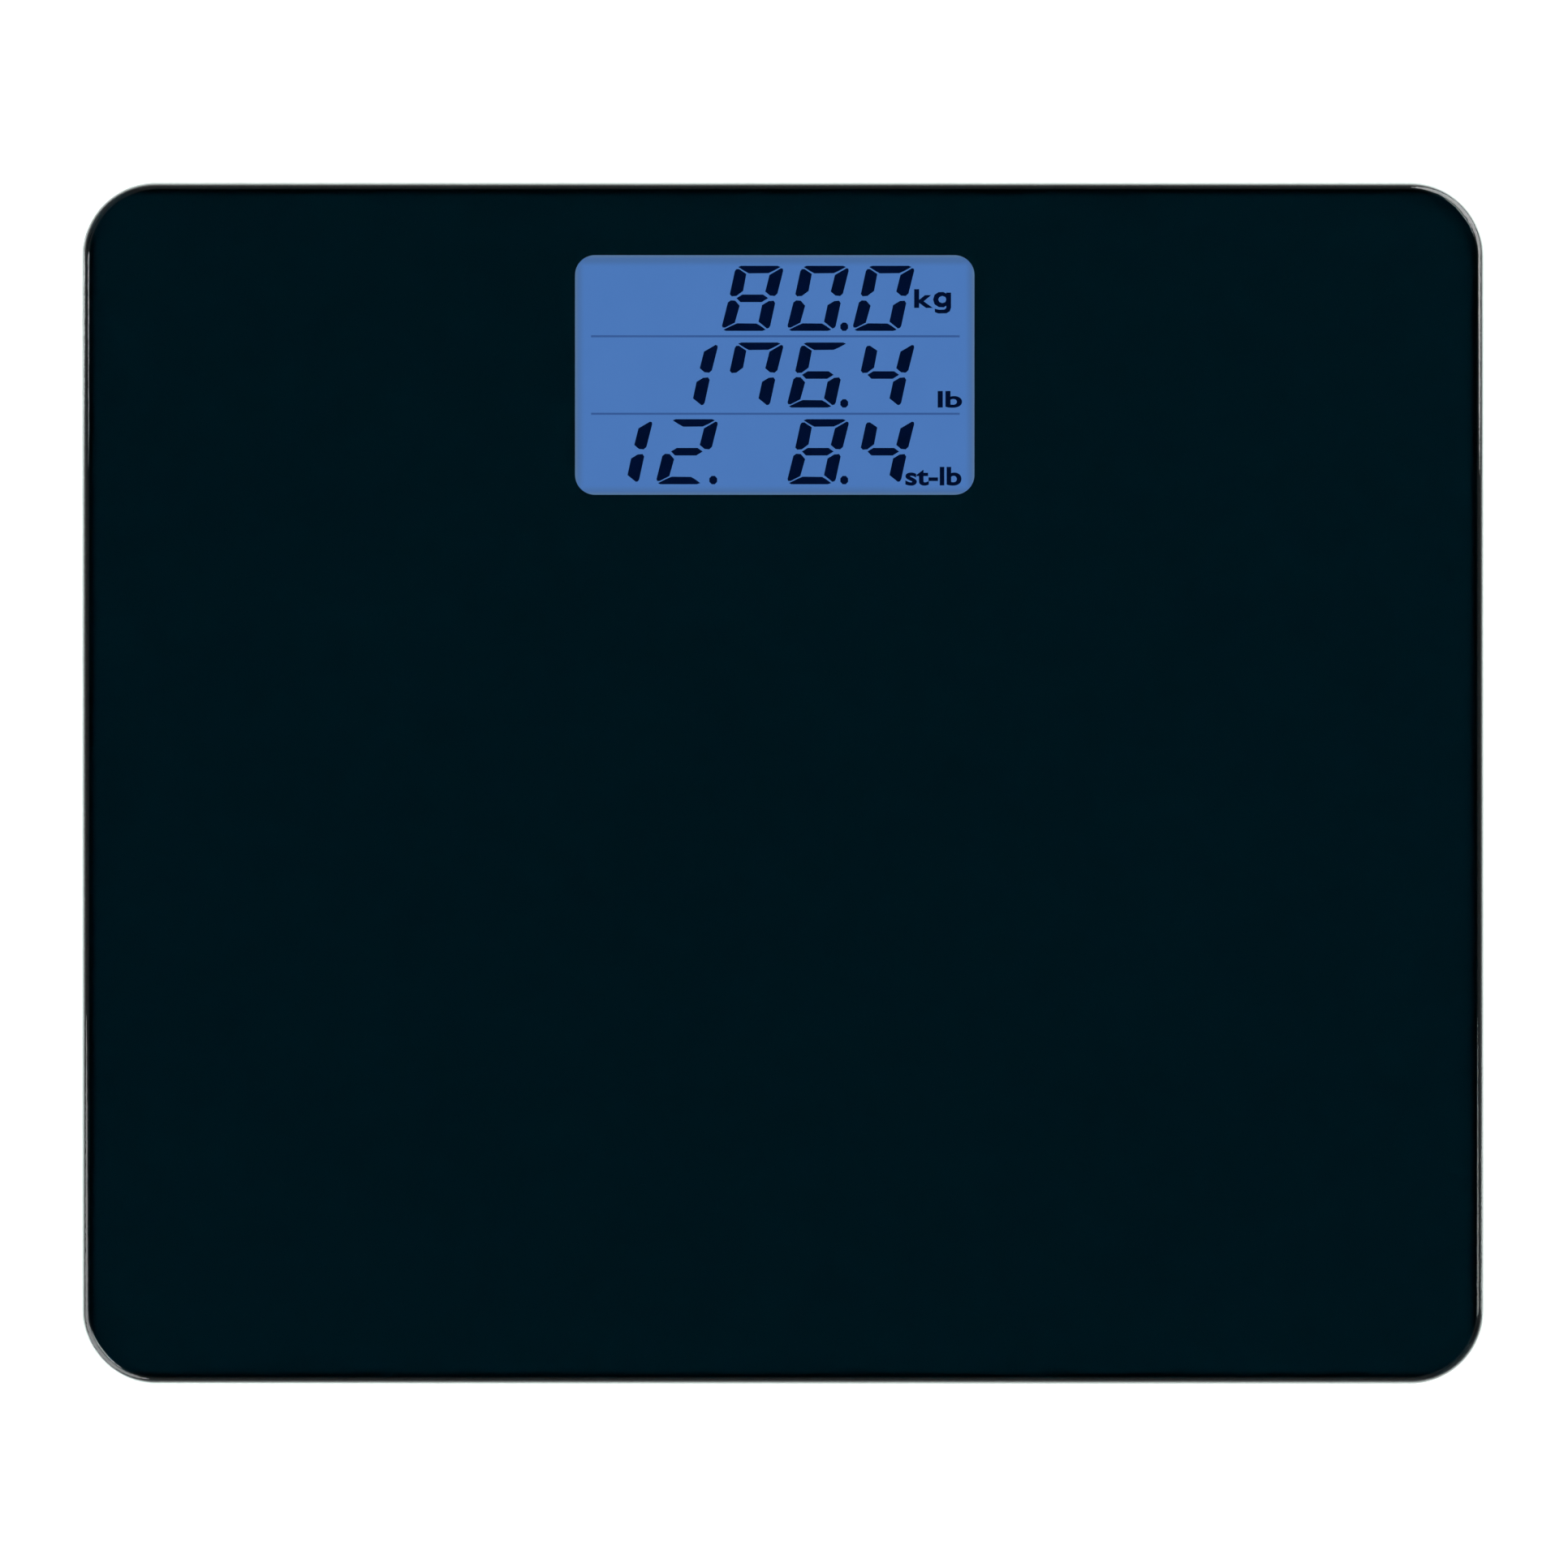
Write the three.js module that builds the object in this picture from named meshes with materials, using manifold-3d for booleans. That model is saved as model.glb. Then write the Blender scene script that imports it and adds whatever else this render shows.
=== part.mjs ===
// Digital bathroom scale: a tempered-glass platform on four weighing feet, with a display housing bonded under it.
// Millimetres. X runs to the right, Y to the rear (the display side), Z up. The origin is on the floor at the centre.

import * as THREE from "three";
import { mergeVertices } from "three/addons/utils/BufferGeometryUtils.js";
import Module from "manifold-3d";

const wasm = await Module();
wasm.setup();

// ---------------------------------------------------------------- driving dimensions

const HEIGHT = 25;
const GLASS = { width: 350, depth: 300, thick: 6, corner: 18.5, edgeRound: 1.3 };
const WINDOW = { x: -2.1, y: 102.2, width: 100, depth: 60, corner: 5 };
const BOND_GAP = 0.05; // between layers that are stuck together
const FIT_GAP = 0.3; // between pieces that touch
const FILM = { inset: 1, thick: 0.15 };
const TAPE_THICK = 1;

const glassBottom = HEIGHT - GLASS.thick;
const filmBottom = glassBottom - BOND_GAP - FILM.thick;
const tapeTop = filmBottom - BOND_GAP;
const mountPlane = tapeTop - TAPE_THICK - BOND_GAP; // tops of the housing and of the foot brackets

const HOUSING = { half: 60, front: 22, rear: 140, bottom: 4, wall: 2, corner: 9, tapeWidth: 5 };
const housingFloor = HOUSING.bottom + HOUSING.wall;

const PANEL = { half: 53, front: 67.7, rear: 134.2, top: 18.6, sheet: 1, ledge: 4.7 };
const FRAME = { bottom: 9.6, top: 16.5, openHalf: 49, openFront: 73.2, openRear: 131.2, ledge: 4, ledgeTop: 12.7 };
const BOARD = { half: 55, front: 64, rear: 134.5, bottom: 8.3, thick: 1.2 };
const ZEBRA = { half: 45.5, front: 69.5, rear: 71.5 };
const SCREW = { x: 51, ys: [78, 127], headRadius: 2, headHeight: 1.3, shankRadius: 0.95, tip: 14 };

const CELL = { radius: 5.25, length: 44.5, nubRadius: 1.9, nubLength: 0.8, z: 12 };
const BAY = { half: 48.4, front: 34.6, rear: 57.4, wallEnds: 2.6, wallSides: 3, ceiling: 17.45, roof: 0.85 };
const rows = [BAY.front + 5.8, BAY.rear - 5.8]; // centre lines of the two rows of cells
const CONTACT = { half: 4.8, thick: 0.4, dimple: 1, spring: 4.6, coilRadius: 3, wireRadius: 0.35, turns: 3 };
const OPENING = { half: 50.2, front: 33, rear: 60 };
const DOOR = { thick: 1.8, tabs: [-36, 0, 36], tabWidth: 8, tabReach: 2.5, tabLift: 2.3, tabThick: 1.2 };
const LATCH = { half: 6, thick: 1.2, front: 28.5, top: 11, back: 32, nose: 2.4, noseBottom: 6.9 };
const WELL = { half: 7.5, front: 27 }; // the opening in front of the door that the latch stands in

const FOOT = { x: 137, y: 112 };
const BRACKET = { flange: 30, top: 27.8, foot: 27, bottom: 7, bore: 25, seat: 12.6, flangeThick: 1.3 };
const LOAD_CELL = { size: 34, corner: 3, bottom: 13, thick: 1.2, slotOut: 11.5, slotIn: 9.5, recess: 12 };
const PAD = { radius: 21, bottom: 2.25, rim: 5.6, neck: 16, flange: 19.5, flangeBottom: 8.7, flangeTop: 10.2 };
const POST = { radius: 6, gap: 0.25 };
const SOLE = { radius: 20, thick: 2.2 };
const GAUGE = { length: 11, width: 6, height: 0.8 };

const CHANNEL = { width: 7, groove: 4, floor: 1, bottom: 13.9 };
const LEAD = { radius: 0.9, z: 16 };
const BATTERY_LEAD_RADIUS = 0.7;
const leadLane = HOUSING.half - 4.6; // where the front leads run, past the ends of the battery bay
const leadEnd = BOARD.half - 0.9;

// ---------------------------------------------------------------- finishes

const FINISHES = {
  glass: { color: 0x0b1c22, roughness: 0.05, metalness: 0 },
  film: { color: 0x01141b, roughness: 0.5, metalness: 0 },
  tape: { color: 0xe4e2da, roughness: 0.95, metalness: 0 },
  casing: { color: 0x1d2023, roughness: 0.6, metalness: 0 },
  display: { color: 0x4f78bc, roughness: 0.15, metalness: 0 },
  holder: { color: 0xe9ebee, roughness: 0.5, metalness: 0 },
  guide: { color: 0xbcd3f2, roughness: 0.2, metalness: 0 },
  board: { color: 0x1d6b3a, roughness: 0.45, metalness: 0 },
  epoxy: { color: 0x0d0d0e, roughness: 0.3, metalness: 0 },
  elastomer: { color: 0xe7a4b0, roughness: 0.7, metalness: 0 },
  steel: { color: 0xb9bcc0, roughness: 0.35, metalness: 1 },
  cell: { color: 0x2d3136, roughness: 0.35, metalness: 0.3 },
  silicone: { color: 0xf4f4f0, roughness: 0.4, metalness: 0 },
  rubber: { color: 0x3a3c3e, roughness: 0.9, metalness: 0 },
  redWire: { color: 0xb3211d, roughness: 0.5, metalness: 0 },
  blackWire: { color: 0x141414, roughness: 0.5, metalness: 0 },
  sensorWire: { color: 0x2b2d30, roughness: 0.55, metalness: 0 },
};

// ---------------------------------------------------------------- shape helpers

function solidOf(geometry) {
  const bare = geometry.index ? geometry.toNonIndexed() : geometry.clone();
  bare.deleteAttribute("normal");
  bare.deleteAttribute("uv");
  const merged = mergeVertices(bare, 1e-4);
  return new wasm.Manifold(
    new wasm.Mesh({
      numProp: 3,
      vertProperties: new Float32Array(merged.attributes.position.array),
      triVerts: new Uint32Array(merged.index.array),
    }),
  );
}

function geometryOf(solid) {
  const mesh = solid.getMesh();
  const geometry = new THREE.BufferGeometry();
  geometry.setAttribute("position", new THREE.BufferAttribute(mesh.vertProperties, 3));
  geometry.setIndex(new THREE.BufferAttribute(mesh.triVerts, 1));
  geometry.computeVertexNormals();
  return geometry;
}

function piece(name, solid, finish) {
  const mesh = new THREE.Mesh(geometryOf(solid), new THREE.MeshStandardMaterial(FINISHES[finish]));
  mesh.name = name;
  return mesh;
}

function block([x0, x1], [y0, y1], [z0, z1]) {
  const geometry = new THREE.BoxGeometry(x1 - x0, y1 - y0, z1 - z0);
  geometry.translate((x0 + x1) / 2, (y0 + y1) / 2, (z0 + z1) / 2);
  return solidOf(geometry);
}

// A closed outline with round corners, for a sheet or a slab.
function roundedRect([x0, x1], [y0, y1], corner) {
  const shape = new THREE.Shape();
  shape.absarc(x1 - corner, y1 - corner, corner, 0, Math.PI / 2);
  shape.absarc(x0 + corner, y1 - corner, corner, Math.PI / 2, Math.PI);
  shape.absarc(x0 + corner, y0 + corner, corner, Math.PI, 1.5 * Math.PI);
  shape.absarc(x1 - corner, y0 + corner, corner, 1.5 * Math.PI, 2 * Math.PI);
  shape.closePath();
  return shape;
}

function slab(shape, [z0, z1], curveSegments = 4) {
  const geometry = new THREE.ExtrudeGeometry(shape, { depth: z1 - z0, bevelEnabled: false, curveSegments });
  geometry.translate(0, 0, z0);
  return solidOf(geometry);
}

// A turned piece: the profile is a list of [radius, z] from the bottom of the axis, outwards and up, to its top.
function turned(profile, sides = 32) {
  const points = profile.map(([radius, z]) => new THREE.Vector2(radius, z));
  const geometry = new THREE.LatheGeometry(points, sides);
  geometry.rotateX(Math.PI / 2);
  return solidOf(geometry);
}

function disc(radius, [z0, z1], sides = 32) {
  return turned([[0, z0], [radius, z0], [radius, z1], [0, z1]], sides);
}

// A round wire along a curve, with flat ends.
function wire(curve, radius, stepLength = 3, sides = 8) {
  const section = new THREE.Shape();
  for (let i = 0; i < sides; i++) {
    const angle = (i / sides) * 2 * Math.PI;
    const corner = [radius * Math.cos(angle), radius * Math.sin(angle)];
    if (i === 0) section.moveTo(...corner);
    else section.lineTo(...corner);
  }
  section.closePath();
  const steps = Math.ceil(curve.getLength() / stepLength);
  return solidOf(new THREE.ExtrudeGeometry(section, { steps, bevelEnabled: false, extrudePath: curve }));
}

function smoothCurve(points) {
  return new THREE.CatmullRomCurve3(points.map((p) => new THREE.Vector3(...p)), false, "centripetal");
}

function move(solid, x, y, z = 0) {
  return solid.translate([x, y, z]);
}

// Turns a solid that points up the Z axis so that it points along +X (side 1) or -X (side -1).
function pointAlongX(solid, side) {
  return solid.rotate([0, 90 * side, 0]);
}

// ---------------------------------------------------------------- platform

function glassPlatform() {
  const { width, depth, thick, corner, edgeRound } = GLASS;
  const halfWidth = width / 2 - edgeRound;
  const halfDepth = depth / 2 - edgeRound;
  const outline = roundedRect([-halfWidth, halfWidth], [-halfDepth, halfDepth], corner - edgeRound);
  const geometry = new THREE.ExtrudeGeometry(outline, {
    depth: thick - 2 * edgeRound,
    bevelThickness: edgeRound,
    bevelSize: edgeRound,
    bevelSegments: 3,
    curveSegments: 6,
  });
  geometry.translate(0, 0, glassBottom + edgeRound);
  return piece("glass_platform", solidOf(geometry), "glass");
}

function windowOutline(grow = 0) {
  const halfWidth = WINDOW.width / 2 + grow;
  const halfDepth = WINDOW.depth / 2 + grow;
  return roundedRect(
    [WINDOW.x - halfWidth, WINDOW.x + halfWidth],
    [WINDOW.y - halfDepth, WINDOW.y + halfDepth],
    WINDOW.corner + grow,
  );
}

// The dark print on its carrier film, which also holds the pieces together if the glass breaks.
function backFilm() {
  const halfWidth = GLASS.width / 2 - FILM.inset;
  const halfDepth = GLASS.depth / 2 - FILM.inset;
  const outline = roundedRect([-halfWidth, halfWidth], [-halfDepth, halfDepth], GLASS.corner - FILM.inset);
  outline.holes.push(windowOutline());
  return piece("back_print_film", slab(outline, [filmBottom, filmBottom + FILM.thick], 6), "film");
}

// ---------------------------------------------------------------- display housing (X measured from the window's centre)

function housingOutline(inset) {
  const half = HOUSING.half - inset;
  return roundedRect([-half, half], [HOUSING.front + inset, HOUSING.rear - inset], HOUSING.corner - inset);
}

function housingTape() {
  const outline = housingOutline(0);
  outline.holes.push(housingOutline(HOUSING.tapeWidth));
  return piece("housing_tape", slab(outline, [tapeTop - TAPE_THICK, tapeTop]), "tape");
}

// The battery bay is a box that opens downward, with slots in its rear wall for the door's tabs.
function bayWalls() {
  const half = BAY.half + BAY.wallEnds;
  const sides = [BAY.front - BAY.wallSides, BAY.rear + BAY.wallSides];
  return block([-half, half], sides, [housingFloor - 0.5, BAY.ceiling + BAY.roof]);
}

function bayHollow() {
  return block([-BAY.half, BAY.half], [BAY.front, BAY.rear], [HOUSING.bottom - 1, BAY.ceiling]);
}

function doorCutouts() {
  const below = HOUSING.bottom - 1;
  const above = housingFloor + 2.6;
  let cut = block([-OPENING.half, OPENING.half], [OPENING.front, OPENING.rear], [below, housingFloor]);
  cut = cut.add(block([-WELL.half, WELL.half], [WELL.front, OPENING.front + 1], [below, housingFloor]));
  const wellSides = [BAY.front - BAY.wallSides - 1, BAY.front + 1];
  cut = cut.add(block([-WELL.half, WELL.half], wellSides, [housingFloor - 0.5, LATCH.top + 1]));
  for (const x of DOOR.tabs) {
    const half = DOOR.tabWidth / 2 + 0.6;
    cut = cut.add(block([x - half, x + half], [BAY.rear - 1, BAY.rear + BAY.wallSides + 1], [housingFloor, above]));
  }
  return cut;
}

// Notches in the rim for the sensor leads, and holes in the bay's end wall for the battery leads.
function leadCutouts() {
  const heights = [LEAD.z - 1.4, mountPlane + 1];
  const across = 2.6;
  const side = [HOUSING.half - HOUSING.wall - 1, HOUSING.half + 1];
  const front = [HOUSING.front - 1, HOUSING.front + HOUSING.corner]; // through the round corner's wall
  let cut = block(side, [FOOT.y - across, FOOT.y + across], heights);
  cut = cut.add(block([-side[1], -side[0]], [FOOT.y - across, FOOT.y + across], heights));
  for (const x of [-leadLane, leadLane]) cut = cut.add(block([x - across, x + across], front, heights));
  const endWall = [BAY.half - 1, BAY.half + BAY.wallEnds + 1];
  for (const [y, z] of batteryLeadHoles()) cut = cut.add(block(endWall, [y - 1.1, y + 1.1], [z - 1.1, z + 1.1]));
  return cut;
}

function batteryLeadHoles() {
  return [[rows[0], CELL.z + 3.4], [rows[1], CELL.z - 0.6]];
}

// Short posts that carry the board.
function boardPosts() {
  const posts = [];
  for (const x of [-44, 44]) {
    for (const y of [72, 130]) posts.push(move(disc(2.6, [housingFloor - 0.5, BOARD.bottom - BOND_GAP], 16), x, y));
  }
  return posts;
}

// Stiffening ribs on the floor, clear of the chip.
function floorRibs() {
  const heights = [housingFloor - 0.5, housingFloor + 0.6];
  return [-30, 30].map((x) => block([x - 0.6, x + 0.6], [BAY.rear + BAY.wallSides - 0.5, HOUSING.rear - 1], heights));
}

function housing() {
  let shell = slab(housingOutline(0), [HOUSING.bottom, mountPlane]);
  shell = shell.subtract(slab(housingOutline(HOUSING.wall), [housingFloor, mountPlane + 1]));
  shell = shell.add(bayWalls());
  for (const extra of [...boardPosts(), ...floorRibs()]) shell = shell.add(extra);
  shell = shell.subtract(bayHollow()).subtract(doorCutouts()).subtract(leadCutouts());
  return piece("housing", shell, "casing");
}

// ---------------------------------------------------------------- display, light and board

// Two sheets of glass: the upper one reaches forward over the contact strip.
function displayPanel() {
  const { half, front, rear, top, sheet, ledge } = PANEL;
  const upper = block([-half, half], [front, rear], [top - sheet, top]);
  const lower = block([-half, half], [front + ledge, rear], [top - 2 * sheet, top - sheet + 0.01]);
  return piece("display_panel", upper.add(lower), "display");
}

function displayFrame() {
  const { bottom, top, openHalf, openFront, openRear, ledge, ledgeTop } = FRAME;
  let frame = block([-PANEL.half, PANEL.half], [PANEL.front, PANEL.rear], [bottom, top]);
  frame = frame.subtract(block([-openHalf, openHalf], [openFront, openRear], [ledgeTop, top + 1]));
  const through = [bottom - 1, top + 1];
  const inner = openHalf - ledge;
  frame = frame.subtract(block([-inner, inner], [openFront + ledge, openRear - ledge], through));
  const slot = [ZEBRA.front - FIT_GAP, ZEBRA.rear + FIT_GAP];
  frame = frame.subtract(block([-ZEBRA.half - FIT_GAP, ZEBRA.half + FIT_GAP], slot, through));
  for (const [x, y] of screwPlaces()) {
    const hole = disc(SCREW.shankRadius + 0.2, [bottom - 1, SCREW.tip + 1], 12);
    frame = frame.subtract(move(hole, x, y));
  }
  return piece("display_frame", frame, "holder");
}

function screwPlaces() {
  return [-SCREW.x, SCREW.x].flatMap((x) => SCREW.ys.map((y) => [x, y]));
}

const lightHeights = [FRAME.ledgeTop + FIT_GAP, FRAME.top - 0.2];
const ledDepth = 2.2;

function lightGuide() {
  const across = [-FRAME.openHalf + ledDepth + 2 * FIT_GAP, FRAME.openHalf - FIT_GAP];
  const along = [FRAME.openFront + FIT_GAP, FRAME.openRear - FIT_GAP];
  return piece("light_guide", block(across, along, lightHeights), "guide");
}

// A narrow board with three side-firing lamps on it.
function ledStrip() {
  const back = -FRAME.openHalf + FIT_GAP;
  const middle = (FRAME.openFront + FRAME.openRear) / 2;
  let strip = block([back, back + 1.2], [middle - 27, middle + 27], lightHeights);
  for (const y of [-18, 0, 18]) {
    const lamp = block([back + 1, back + ledDepth], [middle + y - 2.5, middle + y + 2.5], [13.6, 15.7]);
    strip = strip.add(lamp);
  }
  return piece("backlight_led_strip", strip, "holder");
}

function zebraStrip() {
  const heights = [BOARD.bottom + BOARD.thick + BOND_GAP, PANEL.top - PANEL.sheet - BOND_GAP];
  return piece("zebra_strip", block([-ZEBRA.half, ZEBRA.half], [ZEBRA.front, ZEBRA.rear], heights), "elastomer");
}

function mainBoard() {
  const heights = [BOARD.bottom, BOARD.bottom + BOARD.thick];
  let board = block([-BOARD.half, BOARD.half], [BOARD.front, BOARD.rear], heights);
  for (const [x, y] of screwPlaces()) {
    const hole = disc(SCREW.shankRadius + FIT_GAP, [BOARD.bottom - 1, BOARD.bottom + BOARD.thick + 1], 12);
    board = board.subtract(move(hole, x, y));
  }
  return piece("main_board", board, "board");
}

// A bare chip under a drop of black epoxy, on the underside of the board.
function controllerChip() {
  const top = BOARD.bottom - BOND_GAP;
  const drop = turned([[0, top - 1.4], [3.6, top - 1.25], [6.4, top - 0.8], [8, top - 0.15], [8, top], [0, top]], 28);
  return piece("controller_chip", move(drop, 0, 96), "epoxy");
}

function boardScrews() {
  const headTop = BOARD.bottom - BOND_GAP;
  const headBottom = headTop - SCREW.headHeight;
  const profile = [
    [0, headBottom],
    [SCREW.headRadius - 0.5, headBottom],
    [SCREW.headRadius, headBottom + 0.5],
    [SCREW.headRadius, headTop],
    [SCREW.shankRadius, headTop],
    [SCREW.shankRadius, SCREW.tip - 0.8],
    [0, SCREW.tip],
  ];
  const slots = [
    block([-1.2, 1.2], [-0.25, 0.25], [headBottom - 1, headBottom + 0.6]),
    block([-0.25, 0.25], [-1.2, 1.2], [headBottom - 1, headBottom + 0.6]),
  ];
  const screw = turned(profile, 12).subtract(slots[0].add(slots[1]));
  return screwPlaces().map(([x, y], i) => piece(`board_screw_${i + 1}`, move(screw, x, y), "steel"));
}

// ---------------------------------------------------------------- batteries and their contacts

// One cell lying along X, its raised end towards +X (side 1) or -X (side -1), with that end at tip.
function batteryCell(name, tip, y, side) {
  const { radius, length, nubRadius, nubLength } = CELL;
  const shoulder = length - nubLength;
  const profile = [
    [0, 0], [radius - 0.5, 0], [radius, 0.5], [radius, shoulder - 0.5], [radius - 0.5, shoulder],
    [nubRadius, shoulder], [nubRadius, length], [0, length],
  ];
  const cell = pointAlongX(turned(profile, 24), side);
  return piece(name, move(cell, tip - side * length, y, CELL.z), "cell");
}

const contactFace = BAY.half - FIT_GAP - CONTACT.thick; // inner face of a contact plate, from the bay's middle
const dimpleTip = contactFace - CONTACT.dimple;
const firstTip = dimpleTip - 0.2;

function batteryCells() {
  const pitch = CELL.length + FIT_GAP;
  const cells = [];
  rows.forEach((y, row) => {
    const side = row === 0 ? 1 : -1;
    for (const place of [0, 1]) {
      const name = `battery_cell_${row * 2 + place + 1}`;
      cells.push(batteryCell(name, side * (firstTip - place * pitch), y, side));
    }
  });
  return cells;
}

function contactPlate(side, [y0, y1]) {
  const face = side * contactFace;
  const back = side * (contactFace + CONTACT.thick);
  const across = [Math.min(face, back), Math.max(face, back)];
  return block(across, [y0, y1], [CELL.z - CONTACT.half, CELL.z + CONTACT.half]);
}

// A raised button on a plate at the bay's end on that side. It points back into the bay.
function contactDimple(side, y) {
  const button = turned([[0, -0.2], [2.4, -0.2], [1.6, CONTACT.dimple], [0, CONTACT.dimple]], 16);
  return move(pointAlongX(button, -side), side * contactFace, y, CELL.z);
}

class ConeCoil extends THREE.Curve {
  getPoint(t, target = new THREE.Vector3()) {
    const angle = t * CONTACT.turns * 2 * Math.PI;
    const radius = CONTACT.coilRadius + 0.8 - 1.2 * t;
    const height = t * (CONTACT.spring - 2 * CONTACT.wireRadius) + CONTACT.wireRadius * 0.6;
    return target.set(radius * Math.cos(angle), radius * Math.sin(angle), height);
  }
}

function contactSpring(side, y) {
  const coil = wire(new ConeCoil(), CONTACT.wireRadius, 1.8, 6);
  return move(pointAlongX(coil, -side), side * contactFace, y, CELL.z);
}

function batteryContacts() {
  const around = (y) => [y - CONTACT.half, y + CONTACT.half];
  const link = contactPlate(-1, [rows[0] - CONTACT.half, rows[1] + CONTACT.half]);
  return [
    piece("battery_link", link.add(contactSpring(-1, rows[0])).add(contactDimple(-1, rows[1])), "steel"),
    piece("battery_contact_plus", contactPlate(1, around(rows[0])).add(contactDimple(1, rows[0])), "steel"),
    piece("battery_contact_minus", contactPlate(1, around(rows[1])).add(contactSpring(1, rows[1])), "steel"),
  ];
}

function batteryLeads() {
  const start = contactFace + CONTACT.thick + 0.2;
  const lane = BAY.half + BAY.wallEnds + 1.4;
  const padTop = BOARD.bottom + BOARD.thick + FIT_GAP;
  const edge = BOARD.front + 1.8;
  const [[redY, redZ], [blackY, blackZ]] = batteryLeadHoles();
  const red = [
    [start, redY, redZ], [lane - 1.2, redY, redZ], [lane, redY + 2, redZ], [lane, 58, redZ],
    [lane - 3, 63.5, redZ - 0.6], [43.5, edge, redZ - 1], [42, edge, padTop + 2.5], [42, edge, padTop],
  ];
  const black = [
    [start, blackY, blackZ], [lane - 1.2, blackY, blackZ], [lane, blackY + 2, blackZ], [lane, 60, blackZ],
    [48.8, edge - 0.5, blackZ - 0.2], [48.5, edge, padTop + 0.6], [48.5, edge, padTop],
  ];
  return [
    piece("battery_lead_red", wire(smoothCurve(red), BATTERY_LEAD_RADIUS, 1.6, 6), "redWire"),
    piece("battery_lead_black", wire(smoothCurve(black), BATTERY_LEAD_RADIUS, 1.6, 6), "blackWire"),
  ];
}

// ---------------------------------------------------------------- battery door

const doorHeights = [HOUSING.bottom, HOUSING.bottom + DOOR.thick];

function batteryDoor() {
  const half = OPENING.half - FIT_GAP;
  const edges = [OPENING.front + FIT_GAP, OPENING.rear - FIT_GAP];
  let door = block([-half, half], edges, doorHeights);
  for (const y of rows) {
    door = door.add(block([-half + 4, half - 4], [y - 0.6, y + 0.6], [doorHeights[1] - 0.2, doorHeights[1] + 0.6]));
  }
  const tabBottom = HOUSING.bottom + DOOR.tabLift;
  const tabTop = tabBottom + DOOR.tabThick;
  const root = edges[1] - 1.4;
  for (const x of DOOR.tabs) {
    const across = [x - DOOR.tabWidth / 2, x + DOOR.tabWidth / 2];
    door = door.add(block(across, [root, edges[1]], [doorHeights[1] - 0.2, tabTop]));
    door = door.add(block(across, [root, OPENING.rear + DOOR.tabReach], [tabBottom, tabTop]));
  }
  return piece("battery_door", door.add(latchArm()), "casing");
}

// A side view in Y and Z, drawn out across X by the latch's width.
function latchSection(points) {
  const outline = new THREE.Shape(points.map(([y, z]) => new THREE.Vector2(y, z)));
  const geometry = new THREE.ExtrudeGeometry(outline, { depth: 2 * LATCH.half, bevelEnabled: false });
  const along = new THREE.Vector3(0, 1, 0);
  const up = new THREE.Vector3(0, 0, 1);
  const across = new THREE.Vector3(1, 0, 0);
  geometry.applyMatrix4(new THREE.Matrix4().makeBasis(along, up, across));
  geometry.translate(-LATCH.half, 0, 0);
  return solidOf(geometry);
}

// The half of the latch's U that stands on the door: an upright, with an arm that reaches forward over the well.
function latchArm() {
  const { thick, front, top, back } = LATCH;
  const doorEdge = OPENING.front + FIT_GAP + 0.5;
  return latchSection([
    [back, HOUSING.bottom], [doorEdge, HOUSING.bottom], [doorEdge, doorHeights[1] - 0.1],
    [back + thick, doorHeights[1] - 0.1], [back + thick, top - thick], [back + 0.4, top],
    [front, top], [front, top - thick], [back - 0.6, top - thick], [back, top - thick - 0.6],
  ]);
}

// The springy finger that hangs from the arm. Its nose hooks over the edge of the housing's floor.
function doorLatch() {
  const { thick, front, top, nose, noseBottom } = LATCH;
  const high = top - thick - FIT_GAP;
  const finger = latchSection([
    [front, HOUSING.bottom], [front + thick, HOUSING.bottom], [front + thick, high], [front, high],
    [front, noseBottom + 1.9], [front - nose, noseBottom + 0.9], [front - nose, noseBottom], [front, noseBottom],
  ]);
  return piece("door_latch", finger, "casing");
}

// ---------------------------------------------------------------- feet (measured from each foot's own centre)

const loadCellTop = LOAD_CELL.bottom + LOAD_CELL.thick;

function footTape(name) {
  const ring = disc(BRACKET.flange - 0.5, [tapeTop - TAPE_THICK, tapeTop]);
  return piece(`foot_tape_${name}`, ring.subtract(disc(9, [tapeTop - TAPE_THICK - 1, tapeTop + 1], 24)), "tape");
}

// A cup that opens downward. The load cell sits in its square seat, over a hollow that lets the tongue bend.
function footBracket(name, leadAngle) {
  const { flange, top, foot, bottom, bore, seat, flangeThick } = BRACKET;
  let cup = turned([
    [0, seat], [bore, seat], [bore, bottom], [foot, bottom], [top, mountPlane - flangeThick - 0.4],
    [flange, mountPlane - flangeThick], [flange, mountPlane], [0, mountPlane],
  ]);
  const half = LOAD_CELL.size / 2 + FIT_GAP;
  const seatOutline = roundedRect([-half, half], [-half, half], LOAD_CELL.corner);
  cup = cup.subtract(slab(seatOutline, [seat - 1, loadCellTop + 0.1], 2));
  cup = cup.subtract(disc(LOAD_CELL.recess, [loadCellTop - 1, mountPlane - 1.8], 24));
  const tunnel = block([3, flange + 2], [-1.4, 1.4], [LEAD.z - 1.2, LEAD.z + 1.1]);
  cup = cup.subtract(tunnel.rotate([0, 0, leadAngle]));
  for (let quarter = 0; quarter < 4; quarter++) {
    const clip = block([half - 1, half + 2], [-3, 3], [LOAD_CELL.bottom - 1.2, LOAD_CELL.bottom - 0.2]);
    cup = cup.add(clip.rotate([0, 0, quarter * 90]));
    const lug = block([PAD.neck + 1, bore + 1], [-4, 4], [bottom, PAD.flangeBottom - FIT_GAP]);
    cup = cup.add(lug.rotate([0, 0, quarter * 90 + 45]));
  }
  return piece(`foot_bracket_${name}`, cup, "casing");
}

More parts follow.
